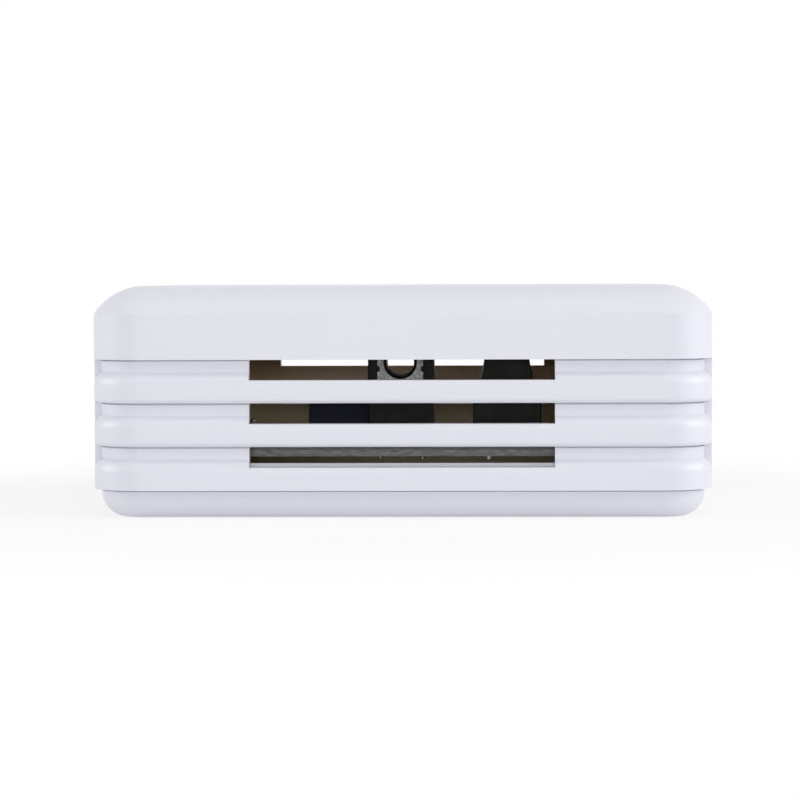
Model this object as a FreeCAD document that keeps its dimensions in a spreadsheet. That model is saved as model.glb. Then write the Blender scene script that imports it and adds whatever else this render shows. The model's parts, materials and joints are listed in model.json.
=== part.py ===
import FreeCAD, Part
import os
import re
import Sketcher

# Wall-mount temperature transmitter in a ribbed housing, in millimetres.
# It lies on its back: +Z is out of the wall, and the origin is the centre of the back face.
# The vent slots are in the two long sides, at -Y (the near side) and +Y (the far side).
# X runs along those sides. Z heights are counted from the wall.

RIB_COUNT = 3
TERMINAL_COUNT = 4
HEADER_PIN_COUNT = 4
# Each outline is first drawn at this size, and takes its own from the sheet
SKETCH_START = (20.0, 16.0)

# The driving sizes, each written once. They become the cells of the document's sheet.
SIZES = {
    # Housing outline
    "housing_width": 110.0,
    "housing_depth": 85.0,
    "corner_radius": 9.2,
    "back_height": 5.0,
    "rib_pitch": 7.667,
    "cover_height": 13.0,
    # Front edge of the cover: an arc that starts below the front face
    "cover_arc": 10.8,
    "cover_edge_drop": 5.0,
    "cover_wall": 2.2,
    "crown_corner_spare": 0.05,
    # Ribs and vent slots of the middle shell
    "groove_depth": 1.3,
    "groove_wall": 2.0,
    "rib_face": 3.1,
    "rib_top_arc": 2.68,
    "rib_arc_spare": 0.01,
    "rib_lower_round": 0.4,
    "slot_sill": 4.05,
    "slot_width": 53.8,
    "lip_height": 2.0,
    "lip_root": 0.5,
    # Back shell
    "back_edge_round": 4.4,
    "back_floor": 2.2,
    "tongue_height": 4.65,
    "tongue_wall": 1.2,
    "shell_clearance": 0.15,
    # Housing screws and the corner bosses that they run through
    "screw_inset": 9.0,
    "back_boss_radius": 4.5,
    "boss_root": 1.1,
    "tube_radius": 4.0,
    "tube_web": 1.6,
    "web_root": 1.0,
    "cover_boss_radius": 3.6,
    "cover_boss_root": 0.7,
    "screw_radius": 1.5,
    "screw_clearance": 0.2,
    "screw_head_radius": 2.8,
    "screw_head_height": 1.8,
    "screw_head_seat": 3.0,
    "screw_head_clearance": 0.3,
    "screw_length": 32.0,
    "screw_tip_radius": 0.3,
    "screw_hole_spare": 1.5,
    "thread_clearance": 0.02,
    "recess_width": 0.7,
    "recess_length": 3.2,
    "recess_depth": 1.0,
    # Keyholes that hang the back on two wall screws
    "keyhole_spacing": 60.0,
    "keyhole_entry_radius": 4.2,
    "keyhole_slot_radius": 2.2,
    "keyhole_travel": 6.5,
    # Cable opening with its grommet
    "grommet_inset": 11.4,
    "grommet_hole_radius": 4.2,
    "grommet_flange_radius": 5.2,
    "grommet_flange": 1.0,
    "grommet_bore_radius": 3.0,
    "grommet_clearance": 0.05,
    # Circuit board, its posts and screws
    "board_side_gap": 17.0,
    "board_end_gap": 4.5,
    "board_thickness": 1.6,
    "board_corner": 2.0,
    "post_height": 8.6,
    "post_radius": 3.0,
    "post_inset": 4.5,
    "board_screw_radius": 1.1,
    "board_screw_length": 6.0,
    "board_screw_head_radius": 2.2,
    "board_screw_head": 1.6,
    "board_recess_length": 2.56,
    "board_recess_depth": 0.5,
    "board_hole_clearance": 0.25,
    "pilot_spare": 1.0,
    "lead_tail": 1.2,
    "lead_hole_clearance": 0.1,
    # Terminal block: a row of rising clamps along Y
    "terminal_x": 18.7,
    "terminal_start": 7.5,
    "terminal_pitch": 5.08,
    "terminal_width": 12.2,
    "terminal_base": 9.0,
    "terminal_height": 18.0,
    "terminal_shoulder": 0.6,
    "terminal_neck_width": 9.92,
    "terminal_top_width": 7.0,
    "chamber_width": 7.2,
    "chamber_depth": 4.2,
    "clamp_width": 5.0,
    "clamp_depth": 4.0,
    "clamp_travel": 2.0,
    "clamp_grip_spare": 0.17,
    "clamp_roof_spare": 0.63,
    "clamp_top_spare": 0.5,
    "clamp_roof": 1.9,
    "clamp_floor": 1.2,
    "clamp_cheek": 0.6,
    "clamp_rest": 1.8,
    "terminal_screw_radius": 1.5,
    "terminal_screw_head_radius": 1.8,
    "terminal_screw_head": 1.8,
    "terminal_screw_shank": 9.2,
    "terminal_running": 0.05,
    "driver_slot_width": 0.6,
    "driver_slot_depth": 0.9,
    "wire_hole_radius": 1.7,
    "busbar_thickness": 0.8,
    "busbar_width": 2.4,
    "busbar_gap": 0.12,
    "terminal_leg_thickness": 0.6,
    "terminal_leg_width": 1.0,
    "terminal_leg_hole": 0.65,
    # Potted choke with a hole through it along Y
    "choke_x": -0.4,
    "choke_start": 10.5,
    "choke_width": 11.9,
    "choke_depth": 9.0,
    "choke_height": 20.8,
    "choke_hole_shift": -0.15,
    "choke_hole_radius": 2.5,
    "choke_tube_wall": 0.5,
    "choke_wall": 0.9,
    "choke_base": 1.6,
    "choke_front": 1.0,
    "choke_window_width": 8.3,
    "choke_window_rim": 1.8,
    "choke_window_drop": 3.85,
    "choke_nib": 0.4,
    "choke_nib_height": 0.9,
    "choke_nib_drop": 1.6,
    "choke_overlap": 0.1,
    "potting_sink": 0.3,
    "core_tube_gap": 0.15,
    "core_side_gap": 0.2,
    "core_top_gap": 0.55,
    "core_depth": 4.0,
    "winding_thickness": 0.3,
    "winding_gap": 3.45,
    "choke_pin_radius": 0.4,
    "choke_pin_spacing_wide": 7.62,
    "choke_pin_spacing_deep": 5.08,
    # Power module, a sealed block on four pins in a line
    "module_x": -11.8,
    "module_start": 20.5,
    "module_width": 11.6,
    "module_depth": 6.0,
    "module_height": 10.2,
    "module_pin_radius": 0.25,
    "module_pin_pitch": 2.54,
    # Low parts on the board, placed from its centre line and its near edge
    "inductor_x": -1.0,
    "inductor_start": 28.2,
    "inductor_size": 6.0,
    "inductor_height": 3.0,
    "crystal_x": -13.2,
    "crystal_start": 28.6,
    "crystal_length": 10.4,
    "crystal_width": 4.6,
    "crystal_height": 3.5,
    "processor_x": -13.2,
    "processor_start": 36.5,
    "processor_size": 7.0,
    "processor_height": 1.5,
    "processor_lead_pitch": 0.8,
    "driver_x": 7.6,
    "driver_start": 31.0,
    "driver_width": 3.9,
    "driver_depth": 4.9,
    "driver_height": 1.6,
    "driver_lead_pitch": 1.27,
    "regulator_x": 8.0,
    "regulator_start": 39.5,
    "regulator_width": 6.5,
    "regulator_depth": 3.5,
    "regulator_height": 1.7,
    "regulator_lead_pitch": 2.3,
    "lead_width": 0.35,
    "lead_thickness": 0.15,
    "lead_reach": 1.0,
    "lead_rise": 0.75,
    # Radial capacitors: the larger behind the choke, the smaller behind the terminals
    "large_capacitor_x": -1.5,
    "large_capacitor_start": 40.5,
    "large_capacitor_radius": 4.0,
    "large_capacitor_height": 11.5,
    "small_capacitor_x": 19.2,
    "small_capacitor_start": 29.0,
    "small_capacitor_radius": 3.15,
    "small_capacitor_height": 11.0,
    "capacitor_lead_radius": 0.3,
    "large_capacitor_lead_pitch": 3.5,
    "small_capacitor_lead_pitch": 2.5,
    # Input protection
    "fuse_start": 36.6,
    "fuse_radius": 3.6,
    "fuse_thickness": 3.0,
    "fuse_lift": 0.8,
    "fuse_lead_pitch": 5.0,
    "diode_start": 41.0,
    "diode_pitch": 3.4,
    "diode_length": 4.4,
    "diode_width": 2.6,
    "diode_height": 2.2,
    # Push button, placed from the far edge of the board
    "button_x": -2.0,
    "button_from_far": 6.0,
    "button_size": 6.0,
    "button_height": 3.5,
    "button_cavity_radius": 2.4,
    "button_roof": 0.8,
    "button_floor": 0.6,
    "plunger_radius": 1.7,
    "plunger_flange_radius": 2.2,
    "plunger_flange": 0.6,
    "plunger_height": 5.0,
    "plunger_travel": 0.25,
    "plunger_running": 0.05,
    "dome_radius": 2.0,
    "dome_crown_radius": 0.8,
    "dome_thickness": 0.25,
    "dome_spare": 0.05,
    "button_leg_radius": 0.35,
    "button_leg_spacing_wide": 6.5,
    "button_leg_spacing_deep": 4.5,
    # Sensor on its own small board beside the left edge
    "sensor_inset": 3.1,
    "sensor_start": 44.0,
    "sensor_board_width": 5.8,
    "sensor_board_depth": 12.0,
    "sensor_board_thickness": 1.0,
    "sensor_lift": 2.6,
    "sensor_pin_pitch": 2.54,
    "sensor_pin_edge": 1.3,
    "sensor_chip": 3.0,
    "sensor_chip_height": 0.9,
    "sensor_port_radius": 0.6,
    # Header for programming beside the right edge
    "header_inset": 3.5,
    "header_start": 43.0,
    "header_pitch": 2.54,
    "header_body": 2.5,
    "header_pin_radius": 0.32,
    "header_pin_height": 8.5,
    # Chips soldered flat
    "chip_length": 2.0,
    "chip_width": 1.25,
    "resistor_height": 0.5,
    "ceramic_height": 0.9,
    "chip_pitch": 2.3,
    "chip_gap": 0.5,
    "chip_row_gap": 3.0,
    "light_x": 4.6,
    "light_from_far": 5.0,
    "light_height": 0.8,
}

doc = FreeCAD.newDocument("TemperatureTransmitter")
sheet = doc.addObject("Spreadsheet::Sheet", "Sizes")
for row, (alias, value) in enumerate(SIZES.items(), start=1):
    sheet.set(f"A{row}", alias)
    sheet.set(f"B{row}", str(value))
    sheet.setAlias(f"B{row}", alias)
doc.recompute()

# Places and sizes that follow from the driving sizes, as expressions of the sheet
COVER_LOW = f"(back_height + {RIB_COUNT} * rib_pitch)"
FRONT = f"({COVER_LOW} + cover_height)"
HOUSING_WALL = "(groove_depth + groove_wall)"
TONGUE_OUTER = f"({HOUSING_WALL} + shell_clearance)"
TONGUE_INNER = f"({TONGUE_OUTER} + tongue_wall)"
TONGUE_TOP = "(back_height + tongue_height)"
LIP_OUTER = "(cover_wall + shell_clearance)"
LIP_TOP = f"({COVER_LOW} + lip_height)"
COVER_CEILING = f"({FRONT} - cover_wall)"
COVER_EDGE_OUT = "(cover_arc - sqrt(cover_arc^2 - (cover_arc - cover_edge_drop)^2))"
SCREW_X = "(housing_width / 2 - screw_inset)"
SCREW_Y = "(housing_depth / 2 - screw_inset)"
SCREW_TIP = "(screw_head_seat + screw_length)"
BOARD_WIDTH = "(housing_width - 2 * board_side_gap)"
BOARD_DEPTH = "(housing_depth - 2 * board_end_gap)"
BOARD_LOW = "(back_floor + post_height)"
BOARD_TOP = f"({BOARD_LOW} + board_thickness)"
BOARD_NEAR = f"(0 - {BOARD_DEPTH} / 2)"
BOARD_FAR = f"({BOARD_DEPTH} / 2)"
BOARD_RIGHT = f"({BOARD_WIDTH} / 2)"
LEAD_LOW = f"({BOARD_LOW} - lead_tail)"
POST_X = f"({BOARD_WIDTH} / 2 - post_inset)"
POST_Y = f"({BOARD_DEPTH} / 2 - post_inset)"
GROMMET_X = "(housing_width / 2 - grommet_inset)"
CORNERS = [(sx, sy) for sx in (-1, 1) for sy in (-1, 1)]

WORD = re.compile(r"\b[a-z][a-z_]+\b")
AXES = {
    "z": FreeCAD.Rotation(),
    "x": FreeCAD.Rotation(FreeCAD.Vector(0, 1, 0), 90),
    "y": FreeCAD.Rotation(FreeCAD.Vector(1, 0, 0), -90),
    "tipped": FreeCAD.Rotation(FreeCAD.Vector(1, 0, 0), 90),
}
sub_parts = []
drills = []


def bind(thing, **sizes):
    """Ties properties to expressions whose bare words are aliases of the sheet."""
    for name, text in sizes.items():
        full = WORD.sub(lambda word: f"Sizes.{word[0]}" if word[0] in SIZES else word[0], str(text))
        thing.setExpression(name.replace("__", "."), full)
    return thing


def place(thing, x=0, y=0, z=0, axis="z"):
    """Gives a thing its direction and ties its place to expressions."""
    thing.Placement = FreeCAD.Placement(FreeCAD.Vector(), AXES[axis])
    return bind(thing, Placement__Base__x=x, Placement__Base__y=y, Placement__Base__z=z)


def block(name, x, y, z):
    """A box between two expressions along each axis."""
    box = doc.addObject("Part::Box", name)
    bind(box, Length=f"({x[1]}) - ({x[0]})", Width=f"({y[1]}) - ({y[0]})", Height=f"({z[1]}) - ({z[0]})")
    return place(box, x[0], y[0], z[0])


def centred(name, x, y, width, depth, low, high):
    """A box centred on a point of the board."""
    across = (f"({x}) - ({width}) / 2", f"({x}) + ({width}) / 2")
    along = (f"({y}) - ({depth}) / 2", f"({y}) + ({depth}) / 2")
    return block(name, across, along, (low, high))


def rod(name, radius, length, x=0, y=0, z=0, axis="z"):
    """A cylinder that starts at a point and runs along an axis."""
    cylinder = doc.addObject("Part::Cylinder", name)
    bind(cylinder, Radius=radius, Height=length)
    return place(cylinder, x, y, z, axis)


def cone(name, low_radius, high_radius, length, x=0, y=0, z=0):
    taper = doc.addObject("Part::Cone", name)
    bind(taper, Radius1=low_radius, Radius2=high_radius, Height=length)
    return place(taper, x, y, z)


def fuse(name, *things):
    joined = doc.addObject("Part::MultiFuse", name)
    joined.Shapes = list(things)
    return joined


def common(name, *things):
    shared = doc.addObject("Part::MultiCommon", name)
    shared.Shapes = list(things)
    return shared


def cut(name, base, *tools):
    """The base less every tool."""
    less = doc.addObject("Part::Cut", name)
    less.Base = base
    less.Tool = tools[0] if len(tools) == 1 else fuse(name + "_tools", *tools)
    return less


def group(name, things):
    """Several separate solids that share one node."""
    together = doc.addObject("Part::Compound", name)
    together.Links = list(things)
    return together


def keep(thing, label):
    """Marks a finished sub-part, and gives it the name of its node."""
    thing.Label = label
    sub_parts.append(thing)
    return thing


def edges_of(feature, wanted):
    names = [f"Edge{i}" for i, edge in enumerate(feature.Shape.Edges, start=1) if wanted(edge)]
    return (feature, names)


def is_upright(edge):
    ends = [vertex.Point for vertex in edge.Vertexes]
    return len(ends) == 2 and abs(ends[0].x - ends[1].x) < 1e-6 and abs(ends[0].y - ends[1].y) < 1e-6


def at_height(height):
    return lambda edge: all(abs(vertex.Z - height) < 1e-6 for vertex in edge.Vertexes)


def rounded_body(name, width, depth, radius, low, high, top_round=None, low_round=None, x=0, y=0):
    """A body padded from a centred rectangle, its corners and, where given, its rims rounded."""
    body = doc.addObject("PartDesign::Body", name)
    sketch = body.newObject("Sketcher::SketchObject", name + "_outline")
    plane = next(f for f in body.Origin.OriginFeatures if f.Role == "XY_Plane")
    sketch.AttachmentSupport = [(plane, "")]
    sketch.MapMode = "FlatFace"
    half_x, half_y = (side / 2 for side in SKETCH_START)
    points = [(-half_x, -half_y), (half_x, -half_y), (half_x, half_y), (-half_x, half_y)]
    vectors = [FreeCAD.Vector(px, py, 0) for px, py in points]
    for i in range(4):
        sketch.addGeometry(Part.LineSegment(vectors[i], vectors[(i + 1) % 4]), False)
    for i in range(4):
        sketch.addConstraint(Sketcher.Constraint("Coincident", i, 2, (i + 1) % 4, 1))
        sketch.addConstraint(Sketcher.Constraint("Horizontal" if i % 2 == 0 else "Vertical", i))
    sketch.addConstraint(Sketcher.Constraint("Symmetric", 0, 1, 2, 1, -1, 1))
    across = sketch.addConstraint(Sketcher.Constraint("DistanceX", 0, 1, 0, 2, SKETCH_START[0]))
    along = sketch.addConstraint(Sketcher.Constraint("DistanceY", 1, 1, 1, 2, SKETCH_START[1]))
    sketch.renameConstraint(across, "width")
    sketch.renameConstraint(along, "depth")
    bind(sketch, Constraints__width=width, Constraints__depth=depth)
    pad = body.newObject("PartDesign::Pad", name + "_pad")
    pad.Profile = sketch
    bind(pad, Length=f"({high}) - ({low})")
    doc.recompute()
    corners = body.newObject("PartDesign::Fillet", name + "_corners")
    corners.Base = edges_of(pad, is_upright)
    bind(corners, Radius=radius)
    doc.recompute()
    last = corners
    for suffix, height, rim in (("_top", pad.Length.Value, top_round), ("_low", 0.0, low_round)):
        if rim is not None:
            rounding = body.newObject("PartDesign::Fillet", name + suffix)
            rounding.Base = edges_of(last, at_height(height))
            bind(rounding, Radius=rim)
            doc.recompute()
            last = rounding
    return place(body, x, y, low)


def outline_body(name, inset, low, high, **rounds):
    """A body with the housing's outline, drawn in by an inset."""
    width = f"housing_width - 2 * ({inset})"
    depth = f"housing_depth - 2 * ({inset})"
    return rounded_body(name, width, depth, f"corner_radius - ({inset})", low, high, **rounds)


def cover_form(name, inset, low):
    """The cover's outer form, drawn in by an inset: a rounded prism under a crowned one."""
    prism = outline_body(name + "_prism", inset, low, f"{FRONT} - ({inset})")
    wider = f"({inset}) - {COVER_EDGE_OUT}"
    arc = f"min(cover_arc - ({inset}); corner_radius - ({wider}) - crown_corner_spare)"
    crown = outline_body(name + "_crown", wider, low, f"{FRONT} - ({inset})", top_round=arc)
    return common(name, prism, crown)


def corner_rods(name, radius, low, high):
    """A rod at each of the four housing screws."""
    return [
        rod(f"{name}_{i}", radius, f"({high}) - ({low})", f"{sx} * {SCREW_X}", f"{sy} * {SCREW_Y}", low)
        for i, (sx, sy) in enumerate(CORNERS, start=1)
    ]


def pins(name, places, radius, high=BOARD_TOP):
    """Round leads through the board, and the holes that they pass."""
    made = []
    for i, (x, y) in enumerate(places, start=1):
        made.append(rod(f"{name}_{i}", radius, f"({high}) - {LEAD_LOW}", x, y, LEAD_LOW))
        drills.append((x, y, f"{radius} + lead_hole_clearance"))
    return group(name, made)


def make_front_cover():
    outer = cover_form("cover_outer", "0", COVER_LOW)
    cavity = cover_form("cover_cavity", "cover_wall", f"{COVER_LOW} - 1")
    shell = cut("cover_shell", outer, cavity)
    boss_low = f"{COVER_LOW} + shell_clearance"
    bosses = corner_rods("cover_boss", "cover_boss_radius", boss_low, f"{COVER_CEILING} + cover_boss_root")
    holes = corner_rods("cover_hole", "screw_radius + thread_clearance", COVER_LOW,
                        f"{SCREW_TIP} + screw_hole_spare")
    keep(cut("front_cover", fuse("cover_with_bosses", shell, *bosses), *holes), "front_cover")


def make_middle_shell():
    core = outline_body("rib_core", "groove_depth", "back_height", COVER_LOW)
    side_y = "(housing_depth / 2 - corner_radius)"
    sides = centred("rib_sides", "0", "0", "housing_width", f"2 * {side_y}", "back_height", COVER_LOW)
    ribs = []
    slots = []
    for k in range(RIB_COUNT):
        low = f"(back_height + {k} * rib_pitch)"
        top = f"{low} + rib_face + rib_top_arc"
        lower = "rib_lower_round" if k else None
        ribs.append(outline_body(f"rib_{k + 1}", "0", low, top, low_round=lower,
                                 top_round="rib_top_arc - rib_arc_spare"))
        slot_z = (f"{low} + slot_sill", f"{low} + rib_pitch")
        slot_y = ("0 - housing_depth", "housing_depth")
        slots.append(block(f"slot_{k + 1}", ("0 - slot_width / 2", "slot_width / 2"), slot_y, slot_z))
    hollow = outline_body("middle_hollow", HOUSING_WALL, "back_height - 1", f"{COVER_LOW} + 1")
    ring = cut("middle_ring", fuse("middle_outer", core, sides, *ribs), hollow, *slots)
    lip_outer = outline_body("lip_outer", LIP_OUTER, f"{COVER_LOW} - lip_root", LIP_TOP)
    lip_inner = outline_body("lip_inner", HOUSING_WALL, f"{COVER_LOW} - 1", f"{LIP_TOP} + 1")
    lip_end = f"{COVER_LOW} - 1"
    lip_trim = block("lip_trim", ("0 - slot_width / 2", "slot_width / 2"),
                     ("0 - housing_depth", "housing_depth"), (lip_end, COVER_LOW))
    lip = cut("lip", lip_outer, lip_inner, lip_trim)
    tube_low = f"{TONGUE_TOP} + shell_clearance"
    tubes = corner_rods("tube", "tube_radius", tube_low, COVER_LOW)
    webs = []
    for i, (sx, sy) in enumerate(CORNERS, start=1):
        far_x = f"(housing_width / 2 - {HOUSING_WALL} + web_root)"
        far_y = f"(housing_depth / 2 - {HOUSING_WALL} + web_root)"
        along_x = [f"{sx} * {SCREW_X}", f"{sx} * {far_x}"][::sx]
        along_y = [f"{sy} * {SCREW_Y}", f"{sy} * {far_y}"][::sy]
        thin_x = (f"{sx} * {SCREW_X} - tube_web / 2", f"{sx} * {SCREW_X} + tube_web / 2")
        thin_y = (f"{sy} * {SCREW_Y} - tube_web / 2", f"{sy} * {SCREW_Y} + tube_web / 2")
        webs.append(block(f"web_x_{i}", along_x, thin_y, (tube_low, COVER_LOW)))
        webs.append(block(f"web_y_{i}", thin_x, along_y, (tube_low, COVER_LOW)))
    holes = corner_rods("tube_hole", "screw_radius + screw_clearance", f"{tube_low} - 1", f"{COVER_LOW} + 1")
    keep(cut("middle_shell", fuse("middle_whole", ring, lip, *tubes, *webs), *holes), "middle_shell")


def keyhole(name, side):
    """A round entry for a screw head, and the narrower slot that runs up from it along +X."""
    entry_x = f"({side} * keyhole_spacing / 2 - keyhole_travel)"
    end_x = f"({side} * keyhole_spacing / 2)"
    depth = "back_floor + 2"
    entry = rod(f"{name}_entry", "keyhole_entry_radius", depth, entry_x, 0, -1)
    end = rod(f"{name}_end", "keyhole_slot_radius", depth, end_x, 0, -1)
    slot_y = ("0 - keyhole_slot_radius", "keyhole_slot_radius")
    slot = block(f"{name}_slot", (entry_x, end_x), slot_y, ("0 - 1", "back_floor + 1"))
    return [entry, end, slot]


def make_back_shell():
    outer = outline_body("back_outer", "groove_depth", "0", "back_height", low_round="back_edge_round")
    tongue = outline_body("tongue_outer", TONGUE_OUTER, "back_floor", TONGUE_TOP)
    hollow = outline_body("back_hollow", TONGUE_INNER, "back_floor", f"{TONGUE_TOP} + 1")
    shell = cut("back_bowl", fuse("back_solid", outer, tongue), hollow)
    bosses = corner_rods("back_boss", "back_boss_radius", "back_floor - boss_root", TONGUE_TOP)
    posts = []
    pilots = []
    pilot_depth = "(board_screw_length - board_thickness + pilot_spare)"
    for i, (sx, sy) in enumerate(CORNERS, start=1):
        x = f"{sx} * {POST_X}"
        y = f"{sy} * {POST_Y}"
        posts.append(rod(f"post_{i}", "post_radius", "post_height + boss_root",
                         x, y, "back_floor - boss_root"))
        pilots.append(rod(f"pilot_{i}", "board_screw_radius + thread_clearance", f"{pilot_depth} + 1",
                          x, y, f"{BOARD_LOW} - {pilot_depth}"))
    holes = corner_rods("back_hole", "screw_radius + screw_clearance", "0 - 1", f"{TONGUE_TOP} + 1")
    sinks = corner_rods("back_sink", "screw_head_radius + screw_head_clearance", "0 - 1", "screw_head_seat")
    cable_hole = rod("cable_hole", "grommet_hole_radius", "back_floor + 2", GROMMET_X, 0, -1)
    cable_sink = rod("cable_sink", "grommet_flange_radius + grommet_clearance", "grommet_flange + 1",
                     GROMMET_X, 0, -1)
    keyholes = keyhole("upper_keyhole", 1) + keyhole("lower_keyhole", -1)
    whole = fuse("back_whole", shell, *bosses, *posts)
    tools = [*pilots, *holes, *sinks, cable_hole, cable_sink, *keyholes]
    keep(cut("back_shell", whole, *tools), "back_shell")


def make_housing_screws():
    screws = []
    head_low = "(screw_head_seat - screw_head_height)"
    for i, (sx, sy) in enumerate(CORNERS, start=1):
        x = f"{sx} * {SCREW_X}"
        y = f"{sy} * {SCREW_Y}"
        head = rod(f"housing_head_{i}", "screw_head_radius", "screw_head_height", x, y, head_low)
        shank = rod(f"housing_shank_{i}", "screw_radius", "screw_length - screw_radius",
                    x, y, "screw_head_seat")
        tip = cone(f"housing_tip_{i}", "screw_radius", "screw_tip_radius", "screw_radius",
                   x, y, f"{SCREW_TIP} - screw_radius")
        recess_z = (f"{head_low} - 1", f"{head_low} + recess_depth")
        blade = block(f"housing_blade_{i}", (f"{x} - recess_length / 2", f"{x} + recess_length / 2"),
                      (f"{y} - recess_width / 2", f"{y} + recess_width / 2"), recess_z)
        cross = block(f"housing_cross_{i}", (f"{x} - recess_width / 2", f"{x} + recess_width / 2"),
                      (f"{y} - recess_length / 2", f"{y} + recess_length / 2"), recess_z)
        screws.append(cut(f"housing_screw_{i}", fuse(f"housing_blank_{i}", head, shank, tip), blade, cross))
    keep(group("housing_screws", screws), "housing_screws")


def make_grommet():
    low = rod("grommet_low", "grommet_flange_radius", "grommet_flange", GROMMET_X, 0, 0)
    neck = rod("grommet_neck", "grommet_hole_radius - grommet_clearance", "back_floor", GROMMET_X, 0, 0)
    high = rod("grommet_high", "grommet_flange_radius", "grommet_flange", GROMMET_X, 0, "back_floor")
    bore = rod("grommet_bore", "grommet_bore_radius", "back_floor + grommet_flange + 2", GROMMET_X, 0, -1)
    keep(cut("wire_grommet", fuse("grommet_blank", low, neck, high), bore), "wire_grommet")


def taper(name, low_width, high_width, y, z):
    """A block of the terminal housing whose width changes from its lower to its upper face."""
    wedge = doc.addObject("Part::Wedge", name)
    length = f"({y[1]}) - ({y[0]})"
    bind(wedge, Xmin=f"0 - {low_width} / 2", Xmax=f"{low_width} / 2",
         X2min=f"0 - {high_width} / 2", X2max=f"{high_width} / 2",
         Ymin="0", Ymax=f"({z[1]}) - ({z[0]})", Zmin="0", Z2min="0", Zmax=length, Z2max=length)
    return place(wedge, "terminal_x", y[1], z[0], axis="tipped")


def make_terminal_block():
    start = f"({BOARD_NEAR} + terminal_start)"
    end = f"({start} + {TERMINAL_COUNT} * terminal_pitch)"
    base_top = f"({BOARD_TOP} + terminal_base)"
    top = f"({BOARD_TOP} + terminal_height)"
    base = block("terminal_base_block",
                 ("terminal_x - terminal_width / 2", "terminal_x + terminal_width / 2"),
                 (start, end), (BOARD_TOP, base_top))
    neck_low = f"({base_top} + terminal_shoulder)"
    shoulder = taper("terminal_shoulder_block", "terminal_width", "terminal_neck_width", (start, end),
                     (base_top, neck_low))
    upper = taper("terminal_upper", "terminal_neck_width", "terminal_top_width", (start, end),
                  (neck_low, top))

    clamp_low = f"({BOARD_TOP} + clamp_rest)"
    window_low = f"({clamp_low} + clamp_floor)"
    busbar_low = f"({window_low} + clamp_travel + clamp_grip_spare)"
    busbar_top = f"({busbar_low} + busbar_thickness)"
    window_top = f"({busbar_top} + clamp_roof_spare)"
    clamp_top = f"({window_top} + clamp_roof)"
    chamber_top = f"({clamp_top} + clamp_travel + clamp_top_spare)"
    shank_low = f"({busbar_top} + busbar_gap)"
    head_low = f"({shank_low} + terminal_screw_shank)"
    tools = []
    busbars = []
    for i in range(TERMINAL_COUNT):
        y = f"({start} + {i + 0.5} * terminal_pitch)"
        n = i + 1
        tools.append(centred(f"chamber_{n}", "terminal_x", y, "chamber_width", "chamber_depth",
                             f"{BOARD_TOP} - 1", chamber_top))
        tools.append(rod(f"shank_way_{n}", "terminal_screw_radius + terminal_running", "terminal_height",
                         "terminal_x", y, shank_low))
        tools.append(rod(f"head_way_{n}", "terminal_screw_head_radius + terminal_running", "terminal_height",
                         "terminal_x", y, head_low))
        tools.append(rod(f"wire_way_{n}", "wire_hole_radius", "terminal_width",
                         "terminal_x", y, f"{busbar_low} - wire_hole_radius", axis="x"))

        shank = rod(f"screw_shank_{n}", "terminal_screw_radius", "terminal_screw_shank",
                    "terminal_x", y, shank_low)
        head = rod(f"screw_head_{n}", "terminal_screw_head_radius", "terminal_screw_head",
                   "terminal_x", y, head_low)
        slot = centred(f"screw_slot_{n}", "terminal_x", y, "2 * terminal_screw_head_radius + 1",
                       "driver_slot_width", f"{head_low} + terminal_screw_head - driver_slot_depth",
                       f"{head_low} + terminal_screw_head + 1")
        keep(cut(f"terminal_screw_{n}", fuse(f"screw_blank_{n}", shank, head), slot), f"terminal_screw_{n}")

        cage = centred(f"cage_{n}", "terminal_x", y, "clamp_width", "clamp_depth", clamp_low, clamp_top)
        window = centred(f"window_{n}", "terminal_x", y, "clamp_width + 1", "clamp_depth - 2 * clamp_cheek",
                         window_low, window_top)
        thread = rod(f"thread_{n}", "terminal_screw_radius + terminal_running", f"{clamp_top} - {window_low}",
                     "terminal_x", y, window_low)
        keep(cut(f"wire_clamp_{n}", cage, window, thread), f"wire_clamp_{n}")

        leg_x = "(terminal_x - chamber_width / 2)"
        plate = block(f"busbar_plate_{n}", (leg_x, "terminal_x + clamp_width / 2"),
                      (f"{y} - busbar_width / 2", f"{y} + busbar_width / 2"), (busbar_low, busbar_top))
        leg = block(f"busbar_leg_{n}", (leg_x, f"{leg_x} + terminal_leg_thickness"),
                    (f"{y} - terminal_leg_width / 2", f"{y} + terminal_leg_width / 2"),
                    (LEAD_LOW, busbar_top))
        busbars.append(fuse(f"busbar_{n}", plate, leg))
        drills.append((f"{leg_x} + terminal_leg_thickness / 2", y, "terminal_leg_hole"))
    keep(cut("terminal_housing", fuse("terminal_blank", base, shoulder, upper), *tools), "terminal_housing")
    keep(group("terminal_pins", busbars), "terminal_pins")


# The hole and the window lie a little to one side of the choke's middle, and the core is centred on the hole
CHOKE_HOLE_X = "(choke_x + choke_hole_shift)"
CORE_INNER = "(choke_hole_radius + choke_tube_wall + core_tube_gap + winding_thickness)"
CORE_OUTER = "(choke_width / 2 + choke_hole_shift - choke_wall - core_side_gap - winding_thickness)"


def window_nibs(name, y, z):
    """The small nib at each side of the choke's window."""
    nibs = []
    for side in (-1, 1):
        edge = f"({CHOKE_HOLE_X} + {side} * choke_window_width / 2)"
        ends = [f"{edge} - {side} * choke_nib", f"{edge} + {side} * choke_overlap"][::side]
        nibs.append(block(f"{name}_{side + 2}", ends, y, z))
    return nibs


def ring(name, inner_radius, outer_radius, depth, y, z):
    """A ring centred on a point of the hole's axis, which runs along Y."""
    near = f"{y} - ({depth}) / 2"
    outer = rod(f"{name}_outer", outer_radius, depth, CHOKE_HOLE_X, near, z, axis="y")
    inner = rod(f"{name}_inner", inner_radius, f"{depth} + 2", CHOKE_HOLE_X, f"{near} - 1", z, axis="y")
    return cut(name, outer, inner)


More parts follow.
